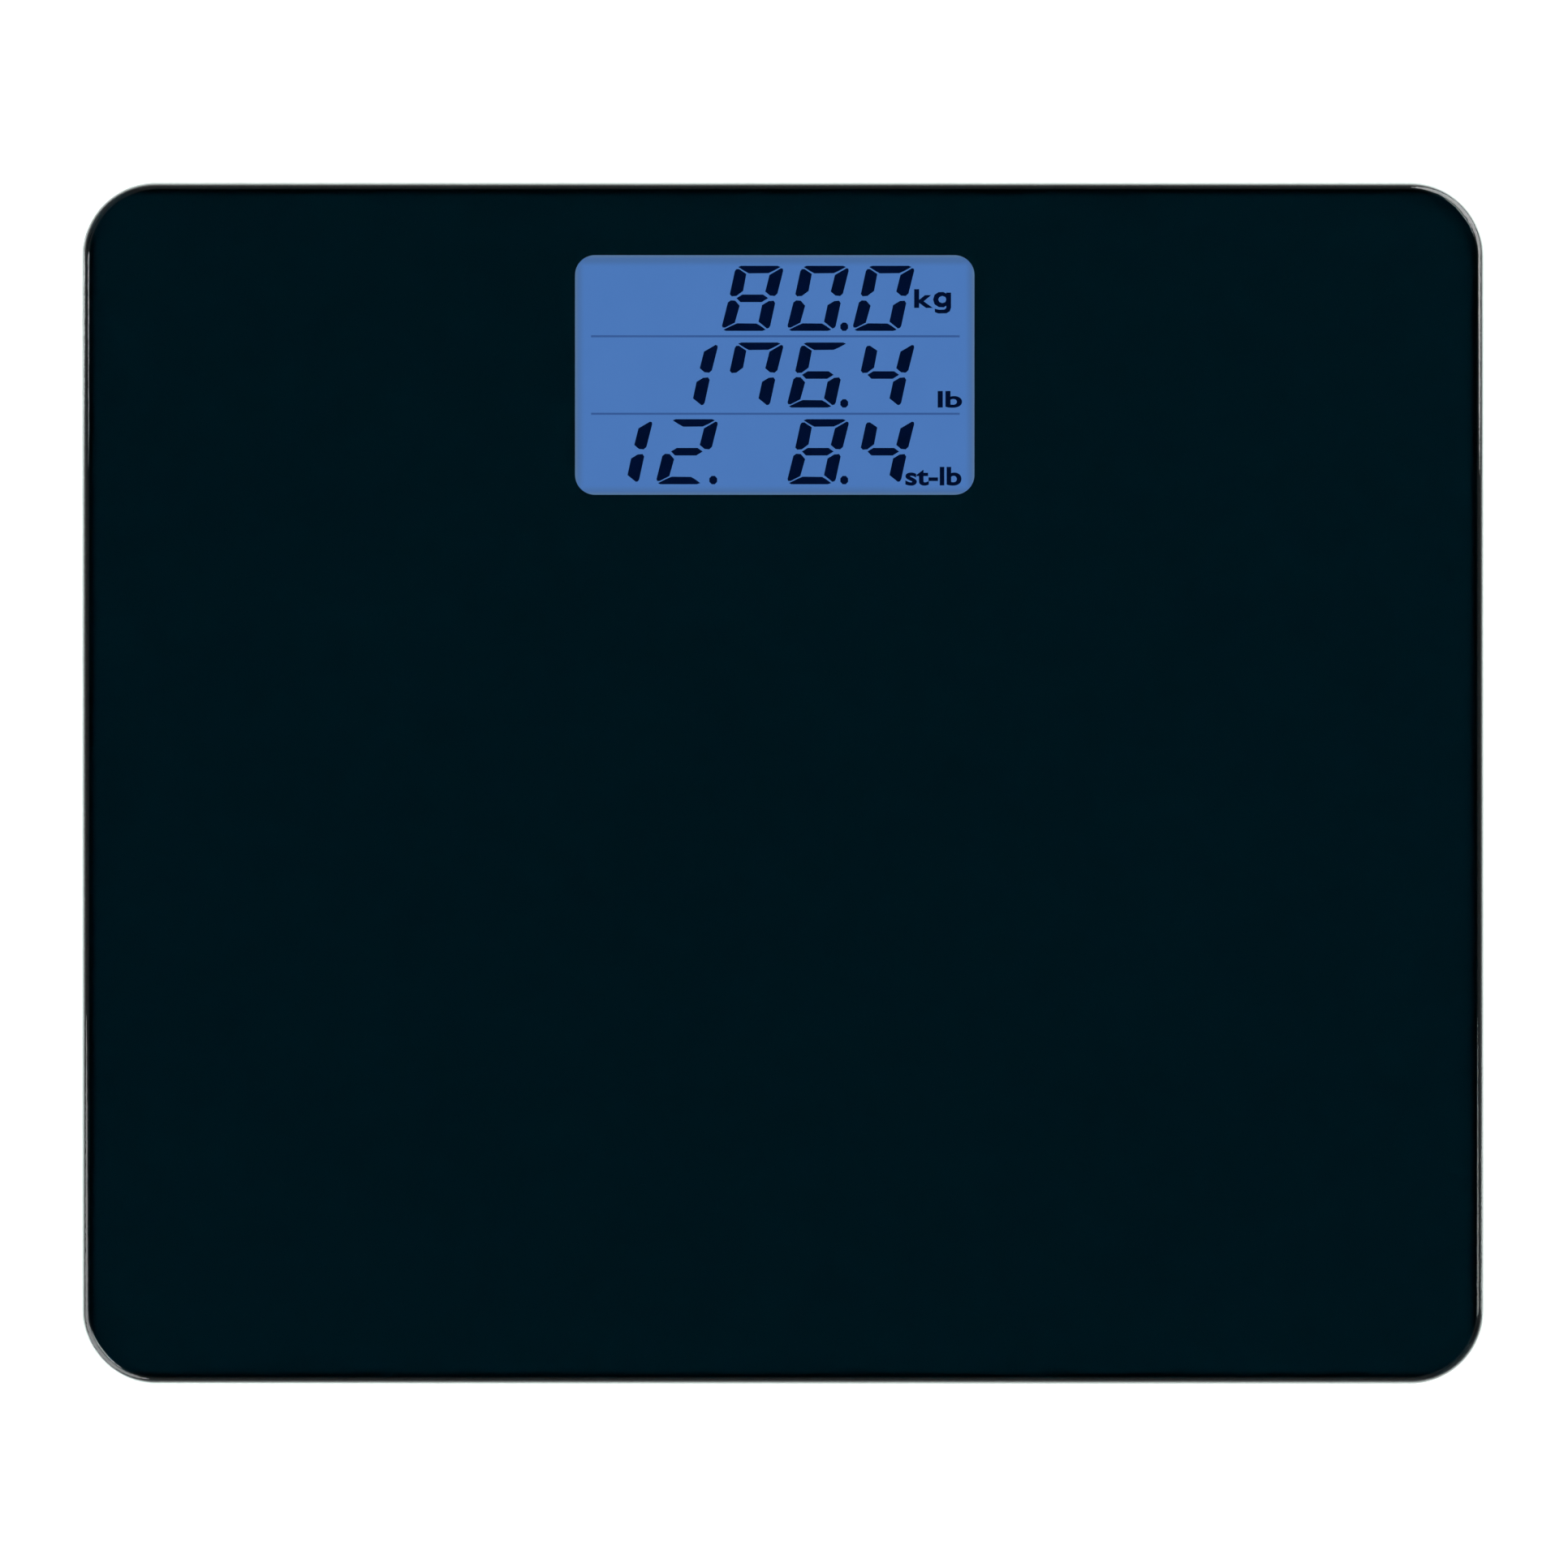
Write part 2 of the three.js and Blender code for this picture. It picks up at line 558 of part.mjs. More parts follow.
// A square steel plate. A slot on three sides of its middle leaves a tongue, which bends under load.
function loadCell(name) {
  const { size, corner, bottom, slotOut, slotIn } = LOAD_CELL;
  const half = size / 2;
  const outline = roundedRect([-half, half], [-half, half], corner);
  const slot = new THREE.Path();
  const corners = [
    [-slotOut, slotOut], [-slotOut, -slotOut], [slotOut, -slotOut], [slotOut, slotOut],
    [slotIn, slotOut], [slotIn, -slotIn], [-slotIn, -slotIn], [-slotIn, slotOut],
  ];
  corners.forEach(([x, y], i) => (i === 0 ? slot.moveTo(x, y) : slot.lineTo(x, y)));
  slot.closePath();
  outline.holes.push(slot);
  return piece(`load_cell_${name}`, slab(outline, [bottom, loadCellTop], 3), "steel");
}

// The strain gauge sits under a drop of white silicone.
function gaugeCover(name) {
  const half = [GAUGE.length / 2, GAUGE.width / 2];
  const low = loadCellTop + BOND_GAP;
  const base = slab(roundedRect([-half[0], half[0]], [-half[1], half[1]], 2), [low, low + GAUGE.height / 2], 2);
  const cap = roundedRect([-half[0] + 0.8, half[0] - 0.8], [-half[1] + 0.8, half[1] - 0.8], 1.4);
  const drop = base.add(slab(cap, [low + GAUGE.height / 2 - 0.01, low + GAUGE.height], 2));
  return piece(`strain_gauge_${name}`, drop, "silicone");
}

// The post in the middle pushes up on the load cell's tongue.
function footPad(name) {
  const { radius, bottom, rim, neck, flange, flangeBottom, flangeTop } = PAD;
  const postTop = LOAD_CELL.bottom - POST.gap;
  const pad = turned([
    [0, bottom], [radius - 0.6, bottom], [radius, bottom + 0.6], [radius, rim - 0.6], [radius - 0.6, rim],
    [neck, rim], [neck, flangeBottom], [flange, flangeBottom], [flange, flangeTop],
    [POST.radius, flangeTop], [POST.radius, postTop], [0, postTop],
  ], 28);
  return piece(`foot_pad_${name}`, pad, "casing");
}

function footSole(name) {
  const { radius, thick } = SOLE;
  const sole = turned([[0, 0], [radius - 1.5, 0], [radius, 1], [radius, thick], [0, thick]]);
  return piece(`foot_sole_${name}`, sole, "rubber");
}

// ---------------------------------------------------------------- sensor leads and their channels

// A foot stands at sideX * FOOT.x, sideY * FOOT.y. Its lead enters the housing at this point on the rim.
function leadEntry(sideX, sideY) {
  if (sideY > 0) return [WINDOW.x + sideX * HOUSING.half, FOOT.y];
  return [WINDOW.x + sideX * leadLane, HOUSING.front];
}

function leadAngle(sideX, sideY) {
  const [x, y] = leadEntry(sideX, sideY);
  return THREE.MathUtils.radToDeg(Math.atan2(y - sideY * FOOT.y, x - sideX * FOOT.x));
}

// A shallow trough from the foot to the housing, its open side against the film.
function wireChannel(name, sideX, sideY) {
  const [x, y] = leadEntry(sideX, sideY);
  const length = Math.hypot(x - sideX * FOOT.x, y - sideY * FOOT.y) + 10;
  const heights = [CHANNEL.bottom, tapeTop];
  let channel = block([BRACKET.flange - 8, length], [-CHANNEL.width / 2, CHANNEL.width / 2], heights);
  const groove = [CHANNEL.bottom + CHANNEL.floor, tapeTop + 1];
  channel = channel.subtract(block([0, length + 10], [-CHANNEL.groove / 2, CHANNEL.groove / 2], groove));
  channel = move(channel.rotate([0, 0, leadAngle(sideX, sideY)]), sideX * FOOT.x, sideY * FOOT.y);
  const keepOut = FIT_GAP + 0.2;
  const bracket = move(disc(BRACKET.flange + keepOut, [0, HEIGHT]), sideX * FOOT.x, sideY * FOOT.y);
  const half = HOUSING.half + keepOut;
  const rim = block(
    [WINDOW.x - half, WINDOW.x + half],
    [HOUSING.front - keepOut, HOUSING.rear + keepOut],
    [0, HEIGHT],
  );
  return piece(`wire_channel_${name}`, channel.subtract(bracket).subtract(rim), "casing");
}

function sensorLead(name, sideX, sideY) {
  const foot = [sideX * FOOT.x, sideY * FOOT.y];
  const entry = leadEntry(sideX, sideY);
  const span = Math.hypot(entry[0] - foot[0], entry[1] - foot[1]);
  const along = (distance) => [0, 1].map((i) => foot[i] + ((entry[i] - foot[i]) * distance) / span);
  const straight = [7, span * 0.3, span * 0.6, span - 3].map((distance) => [...along(distance), LEAD.z]);
  const endX = WINDOW.x + sideX * leadEnd;
  const endY = sideY > 0 ? FOOT.y : BOARD.front + 1.8;
  const padTop = BOARD.bottom + BOARD.thick + FIT_GAP;
  const inside = sideY > 0
    ? [[entry[0] - sideX * 1.5, endY, LEAD.z], [endX + sideX * 0.7, endY, 14.5]]
    : [
        [entry[0], HOUSING.front + 3, LEAD.z], [entry[0], 40, LEAD.z], [entry[0], 56, LEAD.z - 0.4],
        [endX + sideX * 0.6, endY - 2, 14.4],
      ];
  const drop = [[endX, endY, padTop + 2], [endX, endY, padTop]];
  const route = smoothCurve([...straight, ...inside, ...drop]);
  return piece(`sensor_lead_${name}`, wire(route, LEAD.radius, sideY > 0 ? 3 : 4.5), "sensorWire");
}

// ---------------------------------------------------------------- the whole scale

function electronics() {
  const group = new THREE.Group();
  group.position.x = WINDOW.x;
  group.add(housingTape(), housing());
  group.add(displayPanel(), displayFrame(), lightGuide(), ledStrip(), zebraStrip(), mainBoard(), controllerChip());
  group.add(...boardScrews(), ...batteryCells(), ...batteryContacts(), ...batteryLeads());
  group.add(batteryDoor(), doorLatch());
  return group;
}

function foot(name, sideX, sideY) {
  const group = new THREE.Group();
  group.position.set(sideX * FOOT.x, sideY * FOOT.y, 0);
  group.add(footTape(name), footBracket(name, leadAngle(sideX, sideY)), loadCell(name), gaugeCover(name));
  group.add(footPad(name), footSole(name));
  return group;
}

const FEET = [["front_left", -1, -1], ["front_right", 1, -1], ["rear_left", -1, 1], ["rear_right", 1, 1]];

const scale = new THREE.Group();
scale.add(glassPlatform(), backFilm(), electronics());
for (const [name, sideX, sideY] of FEET) {
  scale.add(foot(name, sideX, sideY), wireChannel(name, sideX, sideY), sensorLead(name, sideX, sideY));
}

export default scale;
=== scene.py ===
# %% [markdown]
# # A digital bathroom scale
# The real object is a sheet of tempered glass on four weighing feet. A lit display shines up through a
# clear window in the dark print under the glass. Everything that moves, fastens or carries load comes
# from the engineering model, which is loaded first and never changed. This lesson gives it its fine
# shapes and finishes.

# %% Load the engineering model
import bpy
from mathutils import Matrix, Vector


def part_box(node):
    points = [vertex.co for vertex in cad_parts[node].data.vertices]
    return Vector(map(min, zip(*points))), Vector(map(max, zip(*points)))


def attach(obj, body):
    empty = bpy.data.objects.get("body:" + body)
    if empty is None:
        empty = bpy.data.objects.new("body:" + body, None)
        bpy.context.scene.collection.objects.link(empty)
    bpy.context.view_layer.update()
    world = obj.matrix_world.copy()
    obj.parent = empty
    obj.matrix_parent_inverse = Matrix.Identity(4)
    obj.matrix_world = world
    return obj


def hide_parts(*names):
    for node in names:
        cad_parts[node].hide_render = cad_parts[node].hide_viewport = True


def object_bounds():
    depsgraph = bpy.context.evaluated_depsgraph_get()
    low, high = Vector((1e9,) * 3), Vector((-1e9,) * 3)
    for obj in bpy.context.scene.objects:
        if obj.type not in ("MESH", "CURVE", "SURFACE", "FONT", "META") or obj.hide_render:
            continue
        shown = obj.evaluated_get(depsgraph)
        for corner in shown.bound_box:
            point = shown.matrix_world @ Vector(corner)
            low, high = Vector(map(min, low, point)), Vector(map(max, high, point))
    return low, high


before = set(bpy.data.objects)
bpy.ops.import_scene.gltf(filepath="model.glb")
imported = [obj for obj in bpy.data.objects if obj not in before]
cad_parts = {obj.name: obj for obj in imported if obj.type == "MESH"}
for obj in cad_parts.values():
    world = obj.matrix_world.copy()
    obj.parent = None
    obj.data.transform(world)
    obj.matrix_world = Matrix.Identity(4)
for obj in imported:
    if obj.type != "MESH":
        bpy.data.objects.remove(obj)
cad_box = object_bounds()
print("engineering model:", [[round(v * 1000, 1) for v in corner] for corner in cad_box], "mm")

# %% [markdown]
# ## Units and colours
# Blender works in metres, and a maker thinks in millimetres, so lengths are written as a number times
# `MM`. Colours are written as the hex values of a paint chart. A shader wants them linear, so one
# function turns them. It is the sRGB curve: a short straight line near black, and a power of 2.4 above
# it.

# %% Units and colours
import math

import bmesh
import bpy
from mathutils import Vector

MM = 0.001


def linear(hex_colour):
    """Turn a paint-chart colour such as "4F78BC" into the linear colour that a shader takes."""
    channels = [int(hex_colour[i : i + 2], 16) / 255 for i in (0, 2, 4)]
    straight = [c / 12.92 if c <= 0.04045 else ((c + 0.055) / 1.055) ** 2.4 for c in channels]
    return (*straight, 1.0)


print("a chart grey of 808080 is", round(linear("808080")[0], 3), "in linear light")

# %% [markdown]
# ## One way to add a node
# A finish is a graph of nodes. By hand, each node is made, set and linked in turn. One small function
# does all three, so that the cells below read as a plain list of what each node is fed. `new_finish`
# starts every finish as one Principled shader, and `feed` links a pattern to one of that shader's
# sockets.

# %% One way to add a node
def add_node(material, kind, settings=None, inputs=None):
    """Add a node. An input takes a plain value, or an output of another node, which is then linked to it."""
    tree = material.node_tree
    node = tree.nodes.new(kind)
    for name, value in (settings or {}).items():
        setattr(node, name, value)
    for name, value in (inputs or {}).items():
        if isinstance(value, bpy.types.NodeSocket):
            tree.links.new(value, node.inputs[name])
        else:
            node.inputs[name].default_value = value
    return node


def new_finish(name, colour, roughness, **shader):
    """Make a material with one Principled shader. Extra settings are typed straight into its sockets."""
    material = bpy.data.materials.new(name)
    material.use_nodes = True
    material.node_tree.nodes.clear()
    values = {"Base Color": linear(colour), "Roughness": roughness}
    values.update({key.replace("_", " "): value for key, value in shader.items()})
    surface = add_node(material, "ShaderNodeBsdfPrincipled", inputs=values)
    surface.name = "surface"
    add_node(material, "ShaderNodeOutputMaterial", inputs={"Surface": surface.outputs["BSDF"]})
    print("a new finish:", name)
    return material


def feed(material, socket, output):
    """Link an output to a socket of the finish's shader."""
    material.node_tree.links.new(output, material.node_tree.nodes["surface"].inputs[socket])


# %% [markdown]
# ## Patterns that break up sameness
# No real surface is one even colour. Three patterns are used all over: a `mottle` mixes a second colour
# in, a `drift` lets the gloss wander, and a `grain` raises a fine bump. An image could do it, but a noise
# has no edges and no seams. Each takes its scale from a real size in millimetres: a noise of scale s has
# blobs 1/s metres wide.

# %% Patterns that break up sameness
def noise_of(material, size_mm, stretch=(1, 1, 1), detail=3.0):
    """A cloudy pattern with blobs size_mm wide, fixed to the object. A stretch above 1 makes it finer."""
    place = add_node(material, "ShaderNodeTexCoord")
    shape = add_node(
        material, "ShaderNodeMapping", {"vector_type": "POINT"},
        {"Vector": place.outputs["Object"], "Scale": stretch},
    )
    return add_node(
        material, "ShaderNodeTexNoise",
        inputs={"Vector": shape.outputs["Vector"], "Scale": 1 / (size_mm * MM), "Detail": detail},
    ).outputs["Fac"]


def mottle(material, colour, size_mm, low=0.35, high=0.75, stretch=(1, 1, 1)):
    """Mix a second colour in, where the noise is high."""
    first = tuple(material.node_tree.nodes["surface"].inputs["Base Color"].default_value)
    amount = add_node(
        material, "ShaderNodeMapRange",
        inputs={"Value": noise_of(material, size_mm, stretch), "From Min": low, "From Max": high},
    )
    mix = add_node(
        material, "ShaderNodeMixRGB",
        inputs={"Fac": amount.outputs["Result"], "Color1": first, "Color2": linear(colour)},
    )
    feed(material, "Base Color", mix.outputs["Color"])


def drift(material, low, high, size_mm, stretch=(1, 1, 1)):
    """Let the roughness wander between two values."""
    noise_floor, noise_ceiling = 0.3, 0.7
    wander = add_node(
        material, "ShaderNodeMapRange",
        inputs={
            "Value": noise_of(material, size_mm, stretch),
            "From Min": noise_floor, "From Max": noise_ceiling, "To Min": low, "To Max": high,
        },
    )
    feed(material, "Roughness", wander.outputs["Result"])


def grain(material, size_mm, height_mm, strength=1.0, stretch=(1, 1, 1), detail=2.0):
    """Raise a fine noise as a bump."""
    bump = add_node(
        material, "ShaderNodeBump",
        inputs={
            "Strength": strength,
            "Distance": height_mm * MM,
            "Height": noise_of(material, size_mm, stretch, detail),
        },
    )
    feed(material, "Normal", bump.outputs["Normal"])


print("a noise with blobs 9 mm wide has a scale of", round(1 / (9 * MM), 1))

# %% [markdown]
# ## Working in edit mode
# Every new piece is shaped as it would be by hand. First everything is deselected, because a new shape
# arrives selected, and then faces or edges are picked by where they lie or which way they point. `settle`
# leaves a piece's object at the origin with its place in its mesh, so that patterns sit still and the
# piece moves with its body.

# %% Working in edit mode
def only(piece):
    """Select one piece and nothing else."""
    if bpy.context.object and bpy.context.object.mode != "OBJECT":
        bpy.ops.object.mode_set(mode="OBJECT")
    bpy.ops.object.select_all(action="DESELECT")
    piece.select_set(True)
    bpy.context.view_layer.objects.active = piece


def settle(piece):
    """Move a piece's place, turn and size into its mesh."""
    only(piece)
    bpy.ops.object.transform_apply(location=True, rotation=True, scale=True)
    return piece


def edit(piece):
    """Open a piece in edit mode with nothing selected."""
    only(piece)
    bpy.ops.object.mode_set(mode="EDIT")
    bpy.ops.mesh.select_all(action="DESELECT")


def pick(piece, kind, test):
    """In edit mode, select the faces, edges or vertices that pass a test, and no others."""
    bpy.ops.mesh.select_mode(type=kind)
    bpy.ops.mesh.select_all(action="DESELECT")
    shape = bmesh.from_edit_mesh(piece.data)
    parts = {"VERT": shape.verts, "EDGE": shape.edges, "FACE": shape.faces}[kind]
    for part in parts:
        if test(part):
            part.select_set(True)
    shape.select_flush_mode()
    bmesh.update_edit_mesh(piece.data)


def close_edit(piece):
    """Go back to object mode."""
    bpy.ops.object.mode_set(mode="OBJECT")
    return piece


def smooth(piece, angle=35):
    """Shade round faces as round, and keep edges sharper than the angle."""
    only(piece)
    bpy.ops.object.shade_smooth_by_angle(angle=math.radians(angle))
    return piece


def add_modifier(piece, kind, **settings):
    """Add a modifier, set it and apply it."""
    only(piece)
    modifier = piece.modifiers.new(kind.lower(), kind)
    for name, value in settings.items():
        setattr(modifier, name, value)
    bpy.ops.object.modifier_apply(modifier=modifier.name)


print("the engineering model has", len(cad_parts), "nodes to work around")

# %% [markdown]
# ## Finishes, bodies and names
# A finished piece gets its material and the body that carries it, and the engineering nodes that it
# stands for are hidden. An engineering node whose shape is already right only gets a finish.

# %% Finishes, bodies and names
def finish_with(piece, material, body, stands_for=()):
    """Give a piece its finish and its body, and hide the engineering nodes it stands for."""
    piece.data.materials.clear()
    piece.data.materials.append(material)
    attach(piece, body)
    if stands_for:
        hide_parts(*stands_for)
    print(piece.name, "has", len(piece.data.polygons), "faces")
    return piece


def node_finish(material, *names):
    """Give engineering nodes a finish. Their shape stays as it is."""
    for name in names:
        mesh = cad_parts[name].data
        mesh.materials.clear()
        mesh.materials.append(material)
    print(material.name, "is on", ", ".join(names))


# %% [markdown]
# ## Sheets with round corners
# Glass, labels and ribs are all sheets with round corners. One starts as a cube. Its upright edges are
# bevelled to the corner's radius, then the rims of its two faces are bevelled as the grinder or the mould
# rounds them. A Bevel modifier could do both at once, but would give the corner and the rim the same
# size. A narrow inset ring inside each rim keeps the shading of the big flat face flat.

# %% Sheets with round corners
def rounded_slab(name, low, high, corner, rim, corner_steps=16, rim_steps=4):
    """A box with round upright corners and softened rims, between two corner points."""
    low, high = Vector(low), Vector(high)
    thickness = high.z - low.z
    hair, ring = thickness * 0.01, rim * 0.3

    def upright(edge):
        return abs(edge.verts[0].co.z - edge.verts[1].co.z) > thickness / 2

    def on_rim(edge):
        return any(all(abs(v.co.z - z) < hair for v in edge.verts) for z in (low.z, high.z))

    bpy.ops.mesh.primitive_cube_add(size=1, location=(low + high) / 2, scale=high - low)
    piece = bpy.context.object
    piece.name = piece.data.name = name
    settle(piece)
    edit(piece)
    pick(piece, "EDGE", upright)
    bpy.ops.mesh.bevel(offset=corner, segments=corner_steps, affect="EDGES")
    if rim:
        pick(piece, "EDGE", on_rim)
        bpy.ops.mesh.bevel(offset=rim, segments=rim_steps, affect="EDGES")
        pick(piece, "FACE", lambda face: abs(face.normal.z) > 0.999)
        bpy.ops.mesh.inset(thickness=ring, depth=0)
    return close_edit(piece)


# %% [markdown]
# ## Turned pieces
# Cans, pads and soles are round, so they are made as on a lathe. A plane merged to one point is extruded
# along the piece's profile, and the line is spun about Z. A stack of cylinders would need joining at
# every step. The piece may then be laid along X. Its doubles are merged at the seam and the poles before
# its normals are set outwards.

# %% Turned pieces
def turned_piece(name, profile, centre, steps=64, lay=0):
    """Spin a profile of (radius, height) pairs, in mm, about Z. Lay 1 or -1 turns its top to +X or -X."""
    bpy.ops.mesh.primitive_plane_add(size=MM, location=(0, 0, 0))
    piece = bpy.context.object
    piece.name = piece.data.name = name
    bpy.ops.object.mode_set(mode="EDIT")
    bpy.ops.mesh.select_mode(type="VERT")
    bpy.ops.mesh.select_all(action="SELECT")
    bpy.ops.mesh.merge(type="CENTER")
    places = [Vector((r * MM, 0, z * MM)) for r, z in profile]
    bpy.ops.transform.translate(value=places[0])
    for here, there in zip(places, places[1:]):
        bpy.ops.mesh.extrude_vertices_move(TRANSFORM_OT_translate={"value": there - here})
    bpy.ops.mesh.select_all(action="SELECT")
    bpy.ops.mesh.spin(steps=steps, angle=2 * math.pi, center=(0, 0, 0), axis=(0, 0, 1))
    bpy.ops.mesh.select_all(action="SELECT")
    bpy.ops.mesh.remove_doubles(threshold=1e-6)
    bpy.ops.mesh.normals_make_consistent(inside=False)
    close_edit(piece)
    piece.rotation_euler = (0, lay * math.pi / 2, 0)
    piece.location = centre
    return settle(piece)


# %% [markdown]
# ## Copies with soft edges
# The engineering shapes have knife-sharp edges, and a real mould or die can't make one. A copy of a node
# arrives as loose triangles, so its doubles are merged and its flat triangles dissolved. Then a Bevel
# modifier rounds each edge that turns by more than an angle. `joined` makes one piece of several, for a
# row of ribs.

# %% Copies with soft edges
def softened_copy(node, name, width_mm, steps=2, angle=30):
    """Copy an engineering node, merge its loose triangles and round its sharp edges."""
    piece = bpy.data.objects.new(name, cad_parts[node].data.copy())
    piece.data.name = name
    bpy.context.collection.objects.link(piece)
    edit(piece)
    bpy.ops.mesh.select_all(action="SELECT")
    bpy.ops.mesh.remove_doubles(threshold=2e-6)
    bpy.ops.mesh.dissolve_limited(angle_limit=math.radians(1))
    close_edit(piece)
    smooth(piece)
    add_modifier(
        piece, "BEVEL", width=width_mm * MM, segments=steps, limit_method="ANGLE",
        angle_limit=math.radians(angle), use_clamp_overlap=True, harden_normals=True,
    )
    return piece


def joined(name, pieces):
    """Make one piece of several."""
    bpy.ops.object.select_all(action="DESELECT")
    for piece in pieces:
        piece.select_set(True)
    bpy.context.view_layer.objects.active = pieces[0]
    bpy.ops.object.join()
    whole = bpy.context.object
    whole.name = whole.data.name = name
    return whole


# %% [markdown]
# ## Where the camera stands
# The scale is seen from straight above, as a person who steps on it sees it. A wide lens close by would
# show the sides of the glass, so a long lens hangs high. It is placed so that the glass fills nine tenths
# of its view.

# %% The camera
lens_mm, sensor_mm = 85, 36
view_width = 390.8 * MM
view_centre = Vector((0.22 * MM, -0.2 * MM, 0))
glass_top = cad_box[1].z
camera_height = glass_top + view_width * lens_mm / sensor_mm
bpy.ops.object.camera_add(location=(view_centre.x, view_centre.y, camera_height), rotation=(0, 0, 0))
camera = bpy.context.object
camera.name = "overhead_camera"
camera.data.lens = lens_mm
camera.data.sensor_width = sensor_mm
camera.data.clip_end = 20
bpy.context.scene.camera = camera
print("the camera is", round(camera_height, 3), "m above the floor")

# %% [markdown]
# ## The floor is a light table
# A matt white floor alone would show a wide soft shadow round the scale. A light table has none, so the
# floor takes light from above and also glows a little itself. It is clear from below, so that the
# underside can be looked at, and shadow rays pass it, so that a lamp under the table can light the
# underside.

# %% The floor
floor_size, table_strength = 5, 0.58
bpy.ops.mesh.primitive_plane_add(size=floor_size, location=(0, 0, 0))
floor = bpy.context.object
floor.name = "floor"
pale_paint = bpy.data.materials.new("pale_floor_paint")
pale_paint.use_nodes = True
pale_paint.node_tree.nodes.clear()
matt = add_node(pale_paint, "ShaderNodeBsdfDiffuse", inputs={"Color": linear("F4F4F4")})
table_glow = add_node(
    pale_paint, "ShaderNodeEmission", inputs={"Color": linear("FFFFFF"), "Strength": table_strength}
)
lit_table = add_node(
    pale_paint, "ShaderNodeAddShader", inputs={0: matt.outputs["BSDF"], 1: table_glow.outputs["Emission"]}
)
clear = add_node(pale_paint, "ShaderNodeBsdfTransparent")
side = add_node(pale_paint, "ShaderNodeNewGeometry")
ray = add_node(pale_paint, "ShaderNodeLightPath")
open_way = add_node(
    pale_paint, "ShaderNodeMath", {"operation": "MAXIMUM"},
    {0: side.outputs["Backfacing"], 1: ray.outputs["Is Shadow Ray"]},
)
one_way = add_node(
    pale_paint, "ShaderNodeMixShader",
    inputs={0: open_way.outputs[0], 1: lit_table.outputs["Shader"], 2: clear.outputs["BSDF"]},
)
add_node(pale_paint, "ShaderNodeOutputMaterial", inputs={"Surface": one_way.outputs["Shader"]})
floor.data.materials.append(pale_paint)
print("the floor is", floor_size, "m wide")

# %% [markdown]
# ## A soft sky that is dark overhead
# Glass mirrors what is above it. Under an even white sky, dark glass seen from above turns milky, so the
# sky is dim all round and black near the zenith, with a smooth fade between. Behind the scale the studio
# shows a plain white backdrop, which the glass doesn't mirror.

# %% The sky and the backdrop
sky = bpy.data.worlds.new("soft_studio_sky")
bpy.context.scene.world = sky
sky.use_nodes = True
sky.node_tree.nodes.clear()
sky_strength, backdrop_strength = 0.3, 1.0
full_dark, full_bright = math.cos(math.radians(20)), math.cos(math.radians(50))
direction = add_node(sky, "ShaderNodeTexCoord")
height = add_node(sky, "ShaderNodeSeparateXYZ", inputs={"Vector": direction.outputs["Generated"]})
fade = add_node(
    sky, "ShaderNodeMapRange", {"interpolation_type": "SMOOTHSTEP"},
    {
        "Value": height.outputs["Z"], "From Min": full_bright, "From Max": full_dark,
        "To Min": sky_strength, "To Max": 0.0,
    },
)
glow = add_node(
    sky, "ShaderNodeBackground", inputs={"Color": linear("FFFFFF"), "Strength": fade.outputs["Result"]}
)
backdrop = add_node(
    sky, "ShaderNodeBackground", inputs={"Color": linear("FFFFFF"), "Strength": backdrop_strength}
)
sight = add_node(sky, "ShaderNodeLightPath")
studio = add_node(
    sky, "ShaderNodeMixShader",
    inputs={
        0: sight.outputs["Is Camera Ray"],
        1: glow.outputs["Background"],
        2: backdrop.outputs["Background"],
    },
)
add_node(sky, "ShaderNodeOutputWorld", inputs={"Surface": studio.outputs["Shader"]})
bpy.context.scene.view_settings.view_transform = "Standard"
print("the sky is", sky_strength, "bright at the horizon")

# %% [markdown]
# ## Three soft lamps
# Large round lamps give soft light and long soft highlights. The key lamp at the rear right draws the
# highlights along the ground edge, the fill lamp at the front left opens the shadows, and a small one
# under the table lights the underside. Each is turned so that its face looks at the middle of the scale.

# %% The lamps
def soft_lamp(name, place, size, energy):
    """Hang a round soft lamp at a place, and turn it to the middle of the scale."""
    bpy.ops.object.light_add(type="AREA", location=place)
    lamp = bpy.context.object
    lamp.name = name
    lamp.data.shape = "DISK"
    lamp.data.size = size
    lamp.data.energy = energy
    lamp.rotation_euler = (-lamp.location).to_track_quat("-Z", "Y").to_euler()
    print(name, "is", round(lamp.location.length, 2), "m from the scale and", size, "m wide")


soft_lamp("soft_key_lamp", place=(1.15, 0.95, 1.3), size=1.6, energy=48)
soft_lamp("soft_fill_lamp", place=(-1.2, -0.9, 1.3), size=1.6, energy=30)
soft_lamp("under_table_lamp", place=(-0.75, -1.0, -1.2), size=0.9, energy=32)

# %% [markdown]
# ## The sheet of glass
# The platform is one sheet of tempered float glass, 6 mm thick, cut with round corners and ground to a
# smooth pencil edge. It could be a box with a shiny black paint, but the real depth comes from seeing a
# dark print through clear glass, so the sheet is truly clear. It is one rounded slab.

# %% The shape of the glass
def millimetres(vector):
    """Round a place to hundredths of a millimetre, for printing."""
    return [round(v / MM, 2) for v in vector]


glass_low, glass_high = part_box("glass_platform")
corner_radius, pencil_round = 18.5 * MM, 1.8 * MM
sheet = rounded_slab("glass_sheet", glass_low, glass_high, corner_radius, pencil_round, 24, 6)
smooth(sheet)
print("the glass runs from", millimetres(glass_low), "to", millimetres(glass_high))

# %% [markdown]
# ## Polished faces and a satin edge
# Tempered float glass is clear with a trace of green. The rollers and the fire leave its faces polished,
# and the grinding wheel leaves its edge satin. Two materials would meet in a hard line, so one material
# reads which way the surface faces: as it turns away from flat it grows rough, clouds over, and shows the
# green.

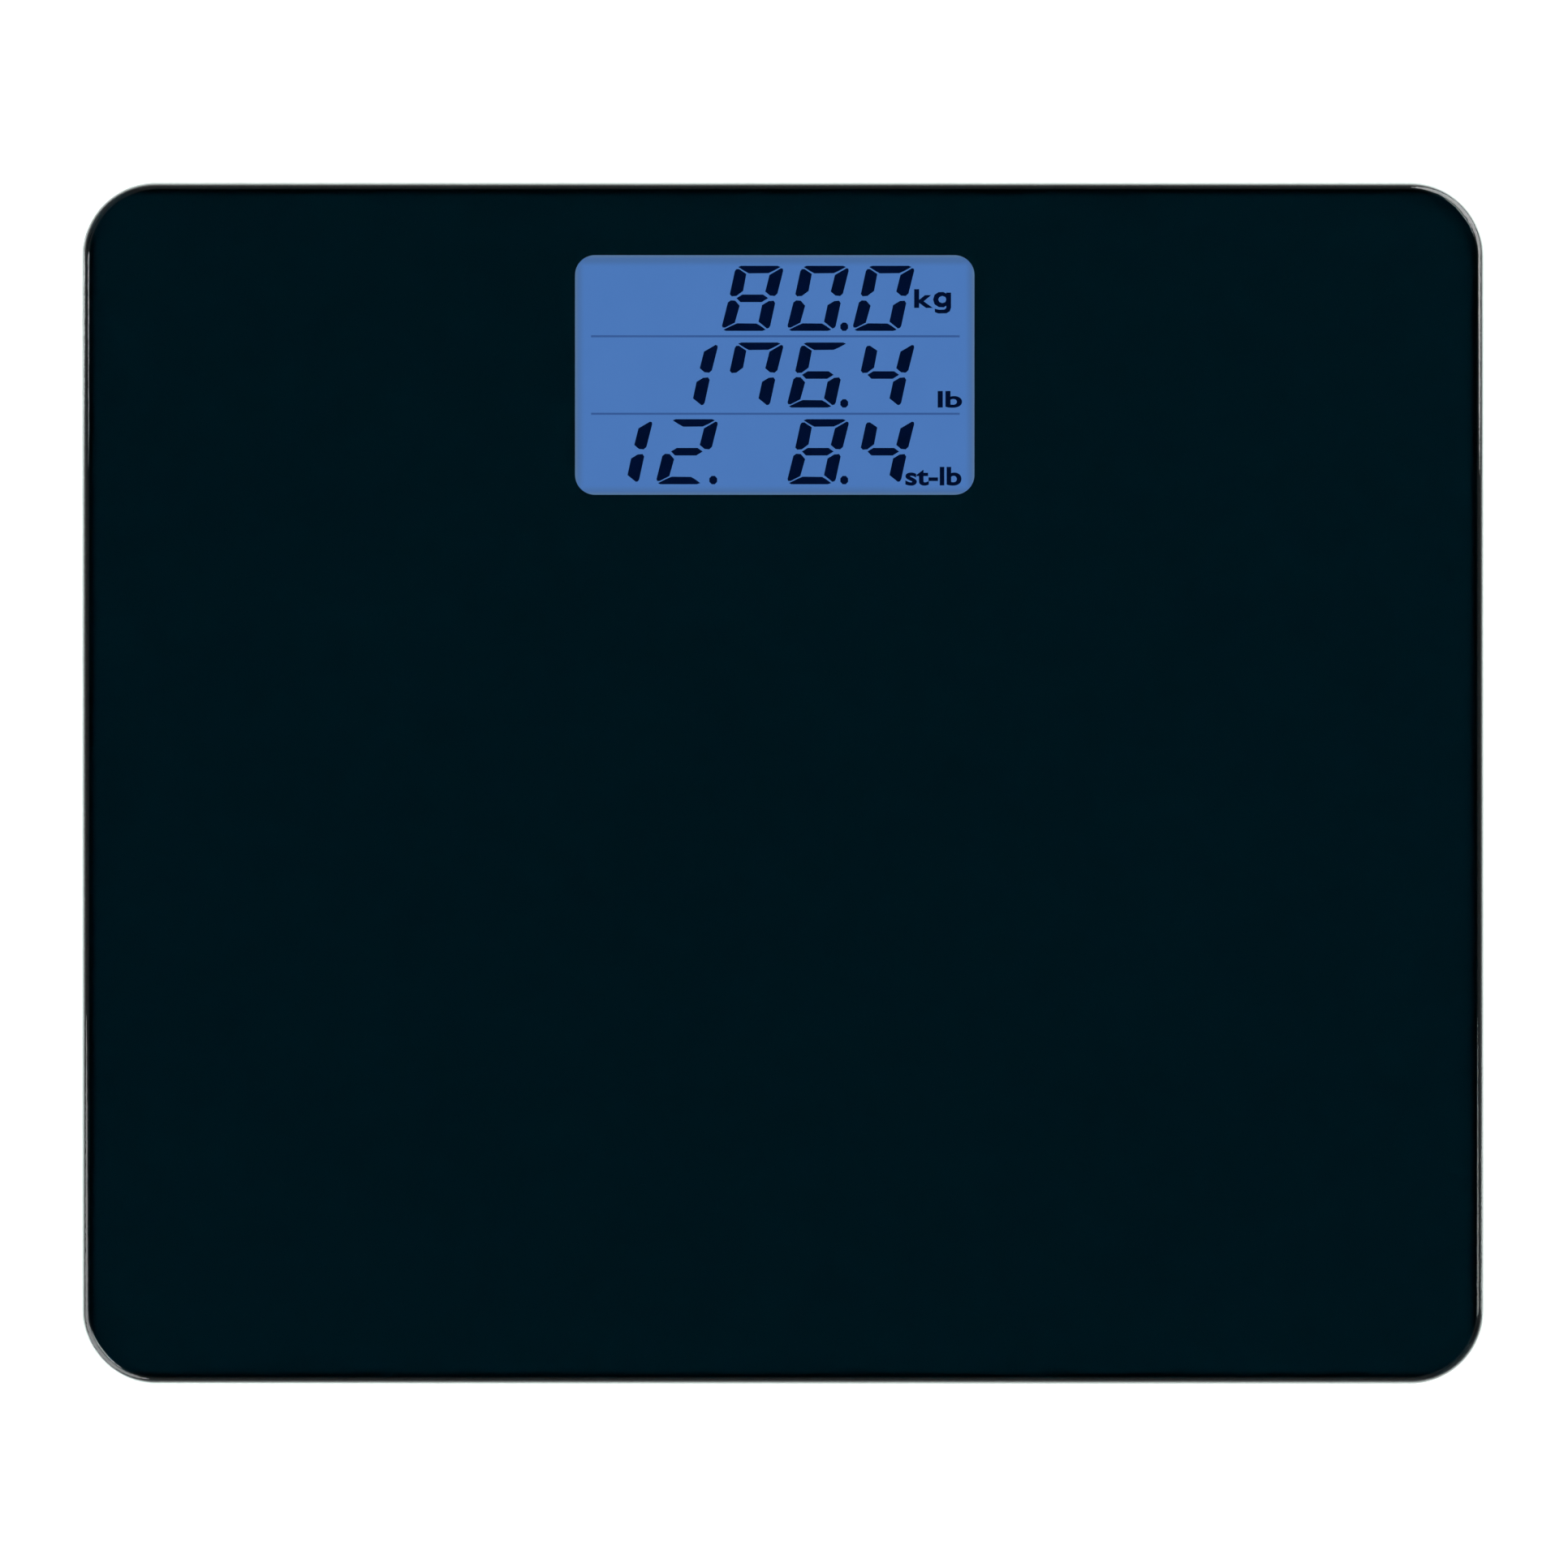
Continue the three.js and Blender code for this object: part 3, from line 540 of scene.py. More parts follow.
# %% Polished faces and a satin edge
tempered_glass = new_finish("tempered_float_glass", "F1FAF7", 0.0, IOR=1.52, Transmission_Weight=1.0)
facing = add_node(tempered_glass, "ShaderNodeTexCoord")
uprightness = add_node(tempered_glass, "ShaderNodeSeparateXYZ", inputs={"Vector": facing.outputs["Normal"]})
flatness = add_node(
    tempered_glass, "ShaderNodeMath", {"operation": "ABSOLUTE"}, {0: uprightness.outputs["Z"]}
)
fully_ground, fully_polished = 0.5, 0.92
for socket, polished, ground in (("Roughness", 0.0, 0.5), ("Transmission Weight", 1.0, 0.2)):
    satin = add_node(
        tempered_glass, "ShaderNodeMapRange",
        inputs={
            "Value": flatness.outputs[0], "From Min": fully_ground, "From Max": fully_polished,
            "To Min": ground, "To Max": polished,
        },
    )
    feed(tempered_glass, socket, satin.outputs["Result"])
edge_tint = add_node(
    tempered_glass, "ShaderNodeMixRGB",
    inputs={"Fac": flatness.outputs[0], "Color1": linear("8FB2A9"), "Color2": linear("F4FBF9")},
)
feed(tempered_glass, "Base Color", edge_tint.outputs["Color"])
finish_with(sheet, tempered_glass, "platform", ["glass_platform"])

# %% [markdown]
# ## Colours that follow an edge
# Print is painted darker near the edge of the film, as painted shade of the glass edge, and the lit
# field is painted dimmer near the edge of the window, as painted shade. A picture could show that, but a
# length does it with no file: three nodes give a point's distance from the nearest edge, and a `band` then
# changes one colour into another as that distance grows. `cloudy` mixes two close colours by a noise.

# %% Colours that follow an edge
def edge_distance(material, centre, half):
    """How far a point lies inside the edge of a rectangle, in metres, by the nearest of its four edges."""
    place = add_node(material, "ShaderNodeTexCoord")
    centred = add_node(
        material, "ShaderNodeMapping", {"vector_type": "POINT"},
        {"Vector": place.outputs["Object"], "Location": -centre},
    )
    parts = add_node(material, "ShaderNodeSeparateXYZ", inputs={"Vector": centred.outputs["Vector"]})
    insets = []
    for axis, reach in (("X", half.x), ("Y", half.y)):
        away = add_node(material, "ShaderNodeMath", {"operation": "ABSOLUTE"}, {0: parts.outputs[axis]})
        left = add_node(material, "ShaderNodeMath", {"operation": "SUBTRACT"}, {0: reach, 1: away.outputs[0]})
        insets.append(left.outputs[0])
    nearest = add_node(material, "ShaderNodeMath", {"operation": "MINIMUM"}, {0: insets[0], 1: insets[1]})
    return nearest.outputs[0]


def band(material, length, start_mm, end_mm, before, after):
    """Change one colour smoothly into another as a length grows from start_mm to end_mm."""
    amount = add_node(
        material, "ShaderNodeMapRange", {"interpolation_type": "SMOOTHSTEP"},
        {"Value": length, "From Min": start_mm * MM, "From Max": end_mm * MM},
    )
    ends = [linear(colour) if isinstance(colour, str) else colour for colour in (before, after)]
    mix = add_node(
        material, "ShaderNodeMixRGB",
        inputs={"Fac": amount.outputs["Result"], "Color1": ends[0], "Color2": ends[1]},
    )
    return mix.outputs["Color"]


def cloudy(material, first, second, size_mm):
    """Mix two colours by a noise with blobs size_mm wide."""
    mix = add_node(
        material, "ShaderNodeMixRGB",
        inputs={"Fac": noise_of(material, size_mm), "Color1": linear(first), "Color2": linear(second)},
    )
    return mix.outputs["Color"]


# %% [markdown]
# ## The dark print
# A blue-black ink is screen printed on the film under the glass. Print is never quite even: the ink pools
# and thins by a hair, so two almost equal colours are mixed. Along the outer edge the print is painted
# near black, as painted shade of the glass edge. Its own gloss is turned off, because glue joins it to the
# glass. The back of the film is plain black.

# %% The dark print
film_low, film_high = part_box("back_print_film")
film_centre, film_half = (film_low + film_high) / 2, (film_high - film_low) / 2
screen_print = new_finish("blue_black_screen_print", "021F2A", 0.6, Specular_IOR_Level=0.0)
ink = cloudy(screen_print, "021F2A", "011A23", 9)
from_edge = edge_distance(screen_print, film_centre, film_half)
# painted shade: the print turns near black along the film's outer edge, standing in for the dark glass edge
print_with_painted_edge_shade = band(screen_print, from_edge, 0.8, 2.2, "000A0F", ink)
film_facing = add_node(screen_print, "ShaderNodeTexCoord")
film_side = add_node(screen_print, "ShaderNodeSeparateXYZ", inputs={"Vector": film_facing.outputs["Normal"]})
is_print = add_node(
    screen_print, "ShaderNodeMath", {"operation": "GREATER_THAN"}, {0: film_side.outputs["Z"], 1: 0.5}
)
two_sided = add_node(
    screen_print, "ShaderNodeMixRGB",
    inputs={"Fac": is_print.outputs[0], "Color1": linear("0B0D0F"), "Color2": print_with_painted_edge_shade},
)
feed(screen_print, "Base Color", two_sided.outputs["Color"])
node_finish(screen_print, "back_print_film")

# %% [markdown]
# ## The display's glass
# A liquid crystal display is a sandwich of two thin sheets of glass with a polariser on each face. The
# engineering shape is right but for its edges, which a glass cutter leaves with a hair of a bevel, so it
# is a softened copy.

# %% The display's glass
panel_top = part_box("display_panel")[1].z
display_glass = softened_copy("display_panel", "display_cell_glass", 0.12, 1)
cell_glass = new_finish("display_cell_glass", "8FA3A8", 0.12, IOR=1.5, Specular_IOR_Level=0.5)
drift(cell_glass, 0.08, 0.2, 12)
finish_with(display_glass, cell_glass, "platform", ["display_panel"])

# %% [markdown]
# ## The lit field
# Light comes up through the display from the light guide below, so the field glows. It could be lit from
# inside by real lamps, but that is slow and noisy, so the field is a thin sheet of its own that gives off
# light. A painted shadow dims it along the rear, under the rim of the window, painted shade greys it
# toward all its edges, and a painted highlight makes a thin light line at the very edge.

# %% The shape of the lit field
window_centre = Vector((-2.1 * MM, 102.2 * MM, 0))
window_half = Vector((50 * MM, 30 * MM, 0))
window_corner = 5 * MM
field_margin = Vector((1.2 * MM, 1.2 * MM, 0))
field_gap, field_thickness = 0.02 * MM, 0.04 * MM
field_low = window_centre - window_half - field_margin
field_high = window_centre + window_half + field_margin
field_low.z = panel_top + field_gap
field_high.z = field_low.z + field_thickness
field = rounded_slab("lit_polariser", field_low, field_high, window_corner, 0, 8)
print("the field is", millimetres(field_high - field_low), "mm")

# %% The glow of the field
lit_polariser = new_finish("lit_polariser", "000000", 0.35, Emission_Strength=1.12, Specular_IOR_Level=0.0)
inset = edge_distance(lit_polariser, window_centre, window_half)
place = add_node(lit_polariser, "ShaderNodeTexCoord")
across = add_node(lit_polariser, "ShaderNodeSeparateXYZ", inputs={"Vector": place.outputs["Object"]})
rear_edge = (window_centre.y + window_half.y) / MM
field_blue = cloudy(lit_polariser, "4C76B9", "507ABD", 14)
# painted shadow: the field darkens along its rear, under the rim of the window
painted_rim_shadow = band(lit_polariser, across.outputs["Y"], rear_edge - 3.2, rear_edge + 0.4, field_blue, "46628B")
# painted shade: the field greys toward all the window's edges
field_with_painted_edge_shade = band(lit_polariser, inset, 0.5, 2.6, "4C6FA6", painted_rim_shadow)
# painted highlight: a thin lighter line along the very edge of the window
field_with_painted_edge_highlight = band(lit_polariser, inset, 0.25, 0.8, "5A769F", field_with_painted_edge_shade)
feed(lit_polariser, "Emission Color", field_with_painted_edge_highlight)
finish_with(field, lit_polariser, "platform")

# %% [markdown]
# ## The bars of a digit
# Each digit has seven bars. The side bars are thick, the top, middle and bottom bars are thin, and their
# ends are mitred with a hair of light between them. A font could draw the figures, but no plain font has
# these bars. Only four outlines are drawn, in millimetres from the digit's middle, because the lower
# three are mirror images.

# %% The bars of a digit
top_bar = [
    (-5.5, 7.85), (-4.8, 8.15), (4.3, 8.15), (5.1, 7.85), (3.5, 6.85), (2.4, 6.3), (-2.45, 6.25),
    (-3.7, 6.85),
]
right_bar = [
    (2.8, 5.85), (5.3, 7.55), (5.8, 7.4), (6.0, 6.9), (5.9, 1.2), (5.35, 0.58), (4.15, 0.68), (2.72, 1.7),
]
left_bar = [
    (-6.1, 6.8), (-5.85, 7.3), (-5.2, 7.35), (-3.05, 6.1), (-2.85, 1.85), (-4.25, 0.58), (-5.4, 0.5),
    (-6.0, 1.05),
]
middle_bar = [
    (-4.1, 0.05), (-2.85, 0.95), (2.35, 0.95), (3.85, 0.05), (2.45, -0.95), (-2.85, -0.95),
]


def upside_down(outline):
    """Mirror an outline in the digit's middle line."""
    return [(x, -y) for x, y in outline]


BARS = {
    "a": top_bar, "b": right_bar, "c": upside_down(right_bar), "d": upside_down(top_bar),
    "e": upside_down(left_bar), "f": left_bar, "g": middle_bar,
}
LIT_BARS = {
    "0": "abcdef", "1": "bc", "2": "abged", "4": "fgbc", "6": "acdefg", "7": "abcf", "8": "abcdefg",
}
print(len(BARS), "bars make", len(LIT_BARS), "figures")

# %% [markdown]
# ## Printing on the display
# A closed curve in two dimensions fills itself, and a little extrusion makes it a thin raised shape, with
# no faces to draw by hand. It is made a mesh before it is laid on the lit field, so that its place is in
# its mesh.

# %% Printing on the display
ink_gap, ink_half_thick = 0.01 * MM, 0.015 * MM
ink_middle = field_high.z + ink_gap + ink_half_thick


def on_display(piece):
    """Make a flat curve a mesh, and lay it on the lit field."""
    only(piece)
    bpy.ops.object.convert(target="MESH")
    piece = bpy.context.object
    piece.location = window_centre + Vector((0, 0, ink_middle))
    return settle(piece)


def flat_print(name, outlines):
    """Turn closed outlines, in millimetres from the window's centre, into thin raised shapes."""
    drawing = bpy.data.curves.new(name, "CURVE")
    drawing.dimensions = "2D"
    drawing.fill_mode = "BOTH"
    drawing.extrude = ink_half_thick
    for outline in outlines:
        line = drawing.splines.new("POLY")
        line.points.add(len(outline) - 1)
        for point, (x, y) in zip(line.points, outline):
            point.co = (x * MM, y * MM, 0, 1)
        line.use_cyclic_u = True
    piece = bpy.data.objects.new(name, drawing)
    bpy.context.collection.objects.link(piece)
    return on_display(piece)


print("the middle of the ink is", round(ink_middle / MM, 3), "mm above the floor")

# %% [markdown]
# ## The three rows of digits
# The display has three rows of five columns. A digit leans to the right, so each point of a bar moves
# sideways by a part of its height, which is quicker than a shear tool. A point is an eight-sided dot,
# which doesn't lean.

# %% The three rows of digits
lean = 0.235
middle_column, column_pitch, row_pitch = -5.5, 16.4, 19.2
columns = [middle_column + column_pitch * n for n in (-2, -1, 0, 1, 2)]
rows = {"kg": row_pitch, "lb": 0.0, "st": -row_pitch}
dot_place = Vector((6.5, -7.1))
dot_width, dot_height = 1.0584, 1.1368
dot_angles = [math.radians(45 * n + 22.5) for n in range(8)]
dot = [(dot_width * math.cos(a), dot_height * math.sin(a)) for a in dot_angles]


def leaned(outline, centre):
    """Lean an outline to the right and move it to its place."""
    return [(centre[0] + x + lean * y, centre[1] + y) for x, y in outline]


def print_row(name, row, digits, dots):
    """Print one row. digits maps a column to its figure, and dots lists columns with a point after them."""
    outlines = []
    for column, figure in digits.items():
        outlines += [leaned(BARS[bar], (columns[column], rows[row])) for bar in LIT_BARS[figure]]
    for column in dots:
        outlines.append([(columns[column] + dot_place.x + x, rows[row] + dot_place.y + y) for x, y in dot])
    return flat_print(name, outlines)


weight_rows = [
    print_row("digits_kilograms", "kg", {2: "8", 3: "0", 4: "0"}, [3]),
    print_row("digits_pounds", "lb", {1: "1", 2: "7", 3: "6", 4: "4"}, [3]),
    print_row("digits_stones", "st", {0: "1", 1: "2", 3: "8", 4: "4"}, [1, 3]),
]
print(len(weight_rows), "rows of digits are printed")

# %% [markdown]
# ## Dark liquid crystal
# A switched-on segment blocks the light, but not all of it: a trace of deep blue leaks through. A black
# surface would also mirror the room, so the segment has no gloss and gives off that trace of blue itself.

# %% Dark liquid crystal
dark_segment = new_finish(
    "dark_liquid_crystal_segment", "000000", 0.3, Emission_Strength=1.0, Specular_IOR_Level=0.0
)
feed(dark_segment, "Emission Color", cloudy(dark_segment, "000B22", "031238", 5))
for piece in weight_rows:
    finish_with(piece, dark_segment, "platform")

# %% [markdown]
# ## The dividing lines
# Two thin lines part the three rows. They are segments too, but so thin that light spills round them,
# which makes them a faint blue and not dark. Each is a flat outline of four points.

# %% The dividing lines
line_left, line_right, line_half = -46.0, 46.3, 0.26
dividers = []
for y in (9.7, -9.7):
    below, above = y - line_half, y + line_half
    dividers.append([(line_left, below), (line_right, below), (line_right, above), (line_left, above)])
divider_piece = flat_print("display_divider_lines", dividers)
thin_segment = new_finish(
    "thin_liquid_crystal_line", "000000", 0.3, Emission_Strength=1.0, Specular_IOR_Level=0.0
)
feed(thin_segment, "Emission Color", cloudy(thin_segment, "385B9B", "4164A2", 20))
finish_with(divider_piece, thin_segment, "platform")

# %% [markdown]
# ## The unit marks
# The unit of each row stands at its right in a small bold face. Text is typed with Blender's own font,
# thickened a little, made a mesh, and then fitted to the space it takes on the display.

# %% The unit marks
bolder = 0.026


def unit_mark(text, name, low, high):
    """Type a unit and fit it to the box between two corners, in millimetres from the window's centre."""
    bpy.ops.object.text_add(location=(0, 0, 0))
    letters = bpy.context.object
    letters.name = letters.data.name = name
    letters.data.body = text
    letters.data.extrude = ink_half_thick
    letters.data.offset = bolder
    only(letters)
    bpy.ops.object.convert(target="MESH")
    letters = bpy.context.object
    xs = [v.co.x for v in letters.data.vertices]
    ys = [v.co.y for v in letters.data.vertices]
    scale_x = (high[0] - low[0]) * MM / (max(xs) - min(xs))
    scale_y = (high[1] - low[1]) * MM / (max(ys) - min(ys))
    letters.scale = (scale_x, scale_y, 1)
    letters.location = (low[0] * MM - min(xs) * scale_x, low[1] * MM - min(ys) * scale_y, 0)
    letters.location += window_centre + Vector((0, 0, ink_middle))
    return settle(letters)


for text, name, low, high in [
    ("k", "unit_kilograms_k", (34.9, 16.8), (39.6, 21.5)),
    ("lb", "unit_pounds", (40.8, -8.2), (46.9, -4.0)),
    ("st-lb", "unit_stones", (32.7, -27.7), (46.75, -23.0)),
]:
    finish_with(unit_mark(text, name, low, high), dark_segment, "platform")

# %% [markdown]
# ## A g with one bowl
# The g of Blender's font has two bowls, and a plain display has one with a tail. So this letter is drawn
# as an outline, and its eye is a second outline inside it, which a filled curve leaves open.

# %% A g with one bowl
small_g = [
    (44.15, 20.65), (44.15, 16.9), (43.85, 15.95), (43.0, 15.45), (41.0, 15.4), (40.1, 15.75), (40.05, 16.6),
    (41.2, 16.35), (42.5, 16.4), (42.95, 16.8), (42.95, 17.35), (42.3, 16.95), (41.1, 17.0), (40.0, 17.7),
    (39.65, 18.9), (40.0, 20.1), (41.0, 20.75), (42.2, 20.8), (42.95, 20.4), (42.95, 20.65),
]
eye_of_g = [
    (42.95, 18.9), (42.7, 18.25), (41.9, 18.0), (41.2, 18.3), (40.95, 18.95), (41.25, 19.55), (42.0, 19.8),
    (42.75, 19.5),
]
finish_with(flat_print("unit_kilograms_g", [small_g, eye_of_g]), dark_segment, "platform")

# %% [markdown]
# ## What lies under the display
# The display rests in a white holder of moulded ABS. A sheet of cast acrylic under it, the light guide,
# spreads the light of a strip of small lamps. All this is shut inside the housing, so the engineering
# shapes stay and only take their real finishes. The strip's mask is dotted by a noise with a narrow step,
# as lamps dot the real one.

# %% Holder, light guide and lamps
white_abs = new_finish("moulded_white_abs", "D9DAD6", 0.45, IOR=1.52)
mottle(white_abs, "CFCFCA", 8)
grain(white_abs, 0.5, 0.01)
node_finish(white_abs, "display_frame")
cast_acrylic = new_finish("cast_clear_acrylic", "EAF2FF", 0.08, IOR=1.49, Transmission_Weight=1.0)
drift(cast_acrylic, 0.04, 0.16, 6)
node_finish(cast_acrylic, "light_guide")
lamp_board = new_finish("white_masked_lamp_board", "E9EBEC", 0.35)
mottle(lamp_board, "B9C7D6", 1.6, low=0.55, high=0.62)
node_finish(lamp_board, "backlight_led_strip")

# %% [markdown]
# ## The zebra strip
# A strip of pink silicone with carbon stripes, called a zebra strip, joins the display to the circuit
# board. A wave texture gives even stripes for nothing. At a scale of 1, Blender's bands repeat every 1 /
# 3.2 of a metre, so the scale is 1 over 3.2 times the pitch.

# %% The zebra strip
zebra_rubber = new_finish("carbon_striped_silicone", "D7A7A0", 0.55)
zebra_place = add_node(zebra_rubber, "ShaderNodeTexCoord")
# the real stripes are 0.1 mm apart, and are drawn 0.8 mm apart so that they show
stripe_pitch = 0.8 * MM
zebra_stripes = add_node(
    zebra_rubber, "ShaderNodeTexWave", {"wave_type": "BANDS", "bands_direction": "X"},
    {"Vector": zebra_place.outputs["Object"], "Scale": 1 / (3.2 * stripe_pitch)},
)
zebra_colour = add_node(
    zebra_rubber, "ShaderNodeMixRGB",
    inputs={"Fac": zebra_stripes.outputs["Fac"], "Color1": linear("151413"), "Color2": linear("D7A7A0")},
)
feed(zebra_rubber, "Base Color", zebra_colour.outputs["Color"])
node_finish(zebra_rubber, "zebra_strip")

# %% [markdown]
# ## The circuit board
# The board is glass-fibre epoxy under a green mask. Copper tracks lie under the mask and raise it by a
# hair. Drawing each track would be lost inside the housing, so a brick pattern with long low bricks
# stands in for them.

# %% The circuit board
masked_board = new_finish("green_masked_circuit_board", "0E4A2B", 0.32, IOR=1.55)
board_place = add_node(masked_board, "ShaderNodeTexCoord")
track_pitch = 4 * MM
tracks = add_node(
    masked_board, "ShaderNodeTexBrick", {"offset": 0.37},
    {
        "Vector": board_place.outputs["Object"], "Color1": linear("0C4226"), "Color2": linear("125A36"),
        "Mortar": linear("1B7548"), "Scale": 1 / track_pitch, "Mortar Size": 0.06, "Brick Width": 3.1,
        "Row Height": 0.45,
    },
)
feed(masked_board, "Base Color", tracks.outputs["Color"])
grain(masked_board, 0.4, 0.01)
node_finish(masked_board, "main_board")

# %% [markdown]
# ## The chip and its screws
# The controller is a block of black epoxy, moulded matt with a faint grain. Small zinc-plated screws hold
# the board; their plating is a metal with a wandering gloss and cloudy patches, as a barrel-plated screw
# has.

# %% The chip and its screws
moulded_epoxy = new_finish("moulded_black_epoxy", "121315", 0.5)
grain(moulded_epoxy, 0.25, 0.008)
drift(moulded_epoxy, 0.42, 0.6, 5)
node_finish(moulded_epoxy, "controller_chip")
zinc_plate = new_finish("zinc_plated_steel", "AEB2B6", 0.3, Metallic=1.0)
drift(zinc_plate, 0.2, 0.45, 2)
mottle(zinc_plate, "9DA6A8", 1.5)
node_finish(zinc_plate, *["board_screw_%d" % n for n in (1, 2, 3, 4)])

# %% [markdown]
# ## Wires
# The wires are tinned copper in soft extruded PVC, which has a dull gloss. Red and black bring the
# battery's two poles to the board, and grey ones bring the four load cells. The three finishes differ
# only in their colours, so one loop makes them.

# %% Wires
foot_names = ["front_left", "front_right", "rear_left", "rear_right"]
for colour_name, hex_value, light_value, nodes in [
    ("red", "9C1B18", "B02A22", ["battery_lead_red"]),
    ("black", "131415", "1F2123", ["battery_lead_black"]),
    ("grey", "6E7174", "7D8083", ["sensor_lead_" + foot for foot in foot_names]),
]:
    wire_pvc = new_finish("extruded_pvc_" + colour_name, hex_value, 0.4, IOR=1.53)
    mottle(wire_pvc, light_value, 3)
    drift(wire_pvc, 0.33, 0.5, 4)
    node_finish(wire_pvc, *nodes)

# %% [markdown]
# ## Contacts and tape
# The battery contacts are spring steel, plated with nickel, which is a little warmer than chrome. Black
# foam tape with open cells holds the housing and the feet to the film: it has no gloss, and its cells are
# a deep bump.

# %% Contacts and tape
nickel_plate = new_finish("nickel_plated_spring_steel", "C6C1B6", 0.22, Metallic=1.0)
drift(nickel_plate, 0.15, 0.35, 1.5)
mottle(nickel_plate, "B3AC9D", 2)
node_finish(nickel_plate, "battery_contact_plus", "battery_contact_minus", "battery_link")
foam_tape = new_finish("black_pe_foam_tape", "1A1B1C", 0.95)
mottle(foam_tape, "242628", 0.6)
grain(foam_tape, 0.5, 0.12)
node_finish(foam_tape, "housing_tape", *["foot_tape_" + foot for foot in foot_names])

# %% [markdown]
# ## Finishes of a battery cell
# A cell is a drawn steel can, plated with nickel, in a sleeve of printed film. Film that is shrunk by
# heat keeps fine ripples, so both films have a low, soft bump. The silver film carries flakes of metal,
# so it is part metallic.

# %% Finishes of a battery cell
can_steel = new_finish("drawn_nickel_plated_can", "BEBFC1", 0.25, Metallic=1.0)
drift(can_steel, 0.18, 0.38, 2.5)
mottle(can_steel, "AEB0B2", 3)
shrink_film = new_finish("printed_shrink_film", "20503E", 0.28, IOR=1.5)
grain(shrink_film, 1.2, 0.02, 0.5)
drift(shrink_film, 0.22, 0.36, 4)
plus_film = new_finish("silver_shrink_film", "B9BABB", 0.3, Metallic=0.6)
grain(plus_film, 1.2, 0.02, 0.5)
drift(plus_film, 0.24, 0.38, 4)

# %% [markdown]
# ## The battery cells
# Four small round cells lie nose to tail in two rows. The can and its films are turned shapes, laid along
# X: the can goes from its dished minus end over the shoulder to the nub at its plus end. The films are
# thin closed walls, and each is shrunk in over a shoulder at its outer end, so one is the other upside
# down. The silver film at the plus end is the generic sign of polarity.

# %% The battery cells
nub_height, nub_radius = 0.8, 1.9
film_wall, film_tuck, plus_width = 0.3, 0.75, 11
cell_steps = 40


def can_profile(radius, length):
    """The line of a can, from the middle of its minus end to the middle of its nub."""
    shoulder = length - nub_height
    wall = radius - 0.35
    return [
        (0, 0.25), (3.2, 0.25), (3.5, 0), (4.4, 0), (wall, 0.5), (wall, shoulder - 0.5),
        (4.3, shoulder - 0.1), (nub_radius + 0.3, shoulder - 0.05), (nub_radius, shoulder + 0.1),
        (nub_radius - 0.05, length - 0.2), (nub_radius - 0.3, length), (0, length),
    ]


def film_profile(radius, start, end):
    """The section of a film's wall, shrunk in at its start."""
    tucked, inside = radius - film_tuck, radius - film_wall
    return [
        (tucked, start), (radius, start + 0.7), (radius, end), (inside, end - 0.05), (inside, end - 0.9),
        (inside, start + 0.9), (tucked, start + 0.05), (tucked, start),
    ]


def battery_cell(number, plus_side):
    """Make one cell where its engineering node lies, with its plus end towards plus_side along X."""
    node = "battery_cell_%d" % number
    low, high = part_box(node)
    middle = (low + high) / 2
    length, radius = (high.x - low.x) / MM, (high.z - low.z) / MM / 2
    minus_end = Vector((middle.x - plus_side * (high.x - low.x) / 2, middle.y, middle.z))
    can = turned_piece(node + "_can", can_profile(radius, length), minus_end, cell_steps, plus_side)
    finish_with(smooth(can), can_steel, "platform", [node])
    shoulder = length - nub_height
    start, seam, end = 0.2, shoulder - plus_width, shoulder - 0.2
    sleeve_line = film_profile(radius, start, seam)
    plus_line = [(r, seam + end - h) for r, h in film_profile(radius, seam, end)]
    for part, line, film in (("sleeve", sleeve_line, shrink_film), ("plus_band", plus_line, plus_film)):
        sleeve = turned_piece(node + "_" + part, line, minus_end, cell_steps, plus_side)
        finish_with(smooth(sleeve), film, "platform")


for number, plus_side in ((1, 1), (2, 1), (3, -1), (4, -1)):
    battery_cell(number, plus_side)

# %% [markdown]
# ## Grained black plastic
# The housing is injection-moulded ABS with a fine spark-eroded grain that hides finger marks. It is not
# quite black, and its gloss changes a little where the plastic cooled slower, so a mottle and a drift of
# different sizes lie under the grain.

# %% Grained black plastic
textured_abs = new_finish("spark_grained_black_abs", "1F2123", 0.55, IOR=1.54)
mottle(textured_abs, "26292B", 12)
drift(textured_abs, 0.48, 0.64, 7)
# the real grain is 0.15 mm wide, and is drawn 0.45 mm wide so that it shows
grain(textured_abs, 0.45, 0.03, 0.7)

# %% [markdown]
# ## The housing and the wire covers
# One moulding holds the display, the board and the cells, and four flat covers hide the wires that run
# out to the feet. Their engineering shapes are right, so they are softened copies with edges rounded by a
# third of a millimetre.

# %% The housing and the wire covers
housing = softened_copy("housing", "housing_shell", 0.35)
finish_with(housing, textured_abs, "platform", ["housing"])
for foot in foot_names:
    channel = softened_copy("wire_channel_" + foot, "wire_cover_" + foot, 0.3)
    finish_with(channel, textured_abs, "platform", ["wire_channel_" + foot])

# %% [markdown]
# ## The door and its latch
# The battery door hooks into the housing with flat tabs, and a springy finger at its other edge snaps
# shut. Both are softened copies. They ride on bodies of their own, so that the door swings and the finger
# bends.

# %% The door and its latch
door = softened_copy("battery_door", "battery_door_shell", 0.25)
finish_with(door, textured_abs, "battery_door", ["battery_door"])
latch = softened_copy("door_latch", "door_latch_finger", 0.2)
finish_with(latch, textured_abs, "door_latch", ["door_latch"])

# %% [markdown]
# ## Ribs for a thumb
# Next to the latch the door has four raised ribs that keep a thumb from slipping. One rib is a slab with
# round ends, sunk a tenth of a millimetre into the door so that no gap shows, and the row is joined into
# one piece.

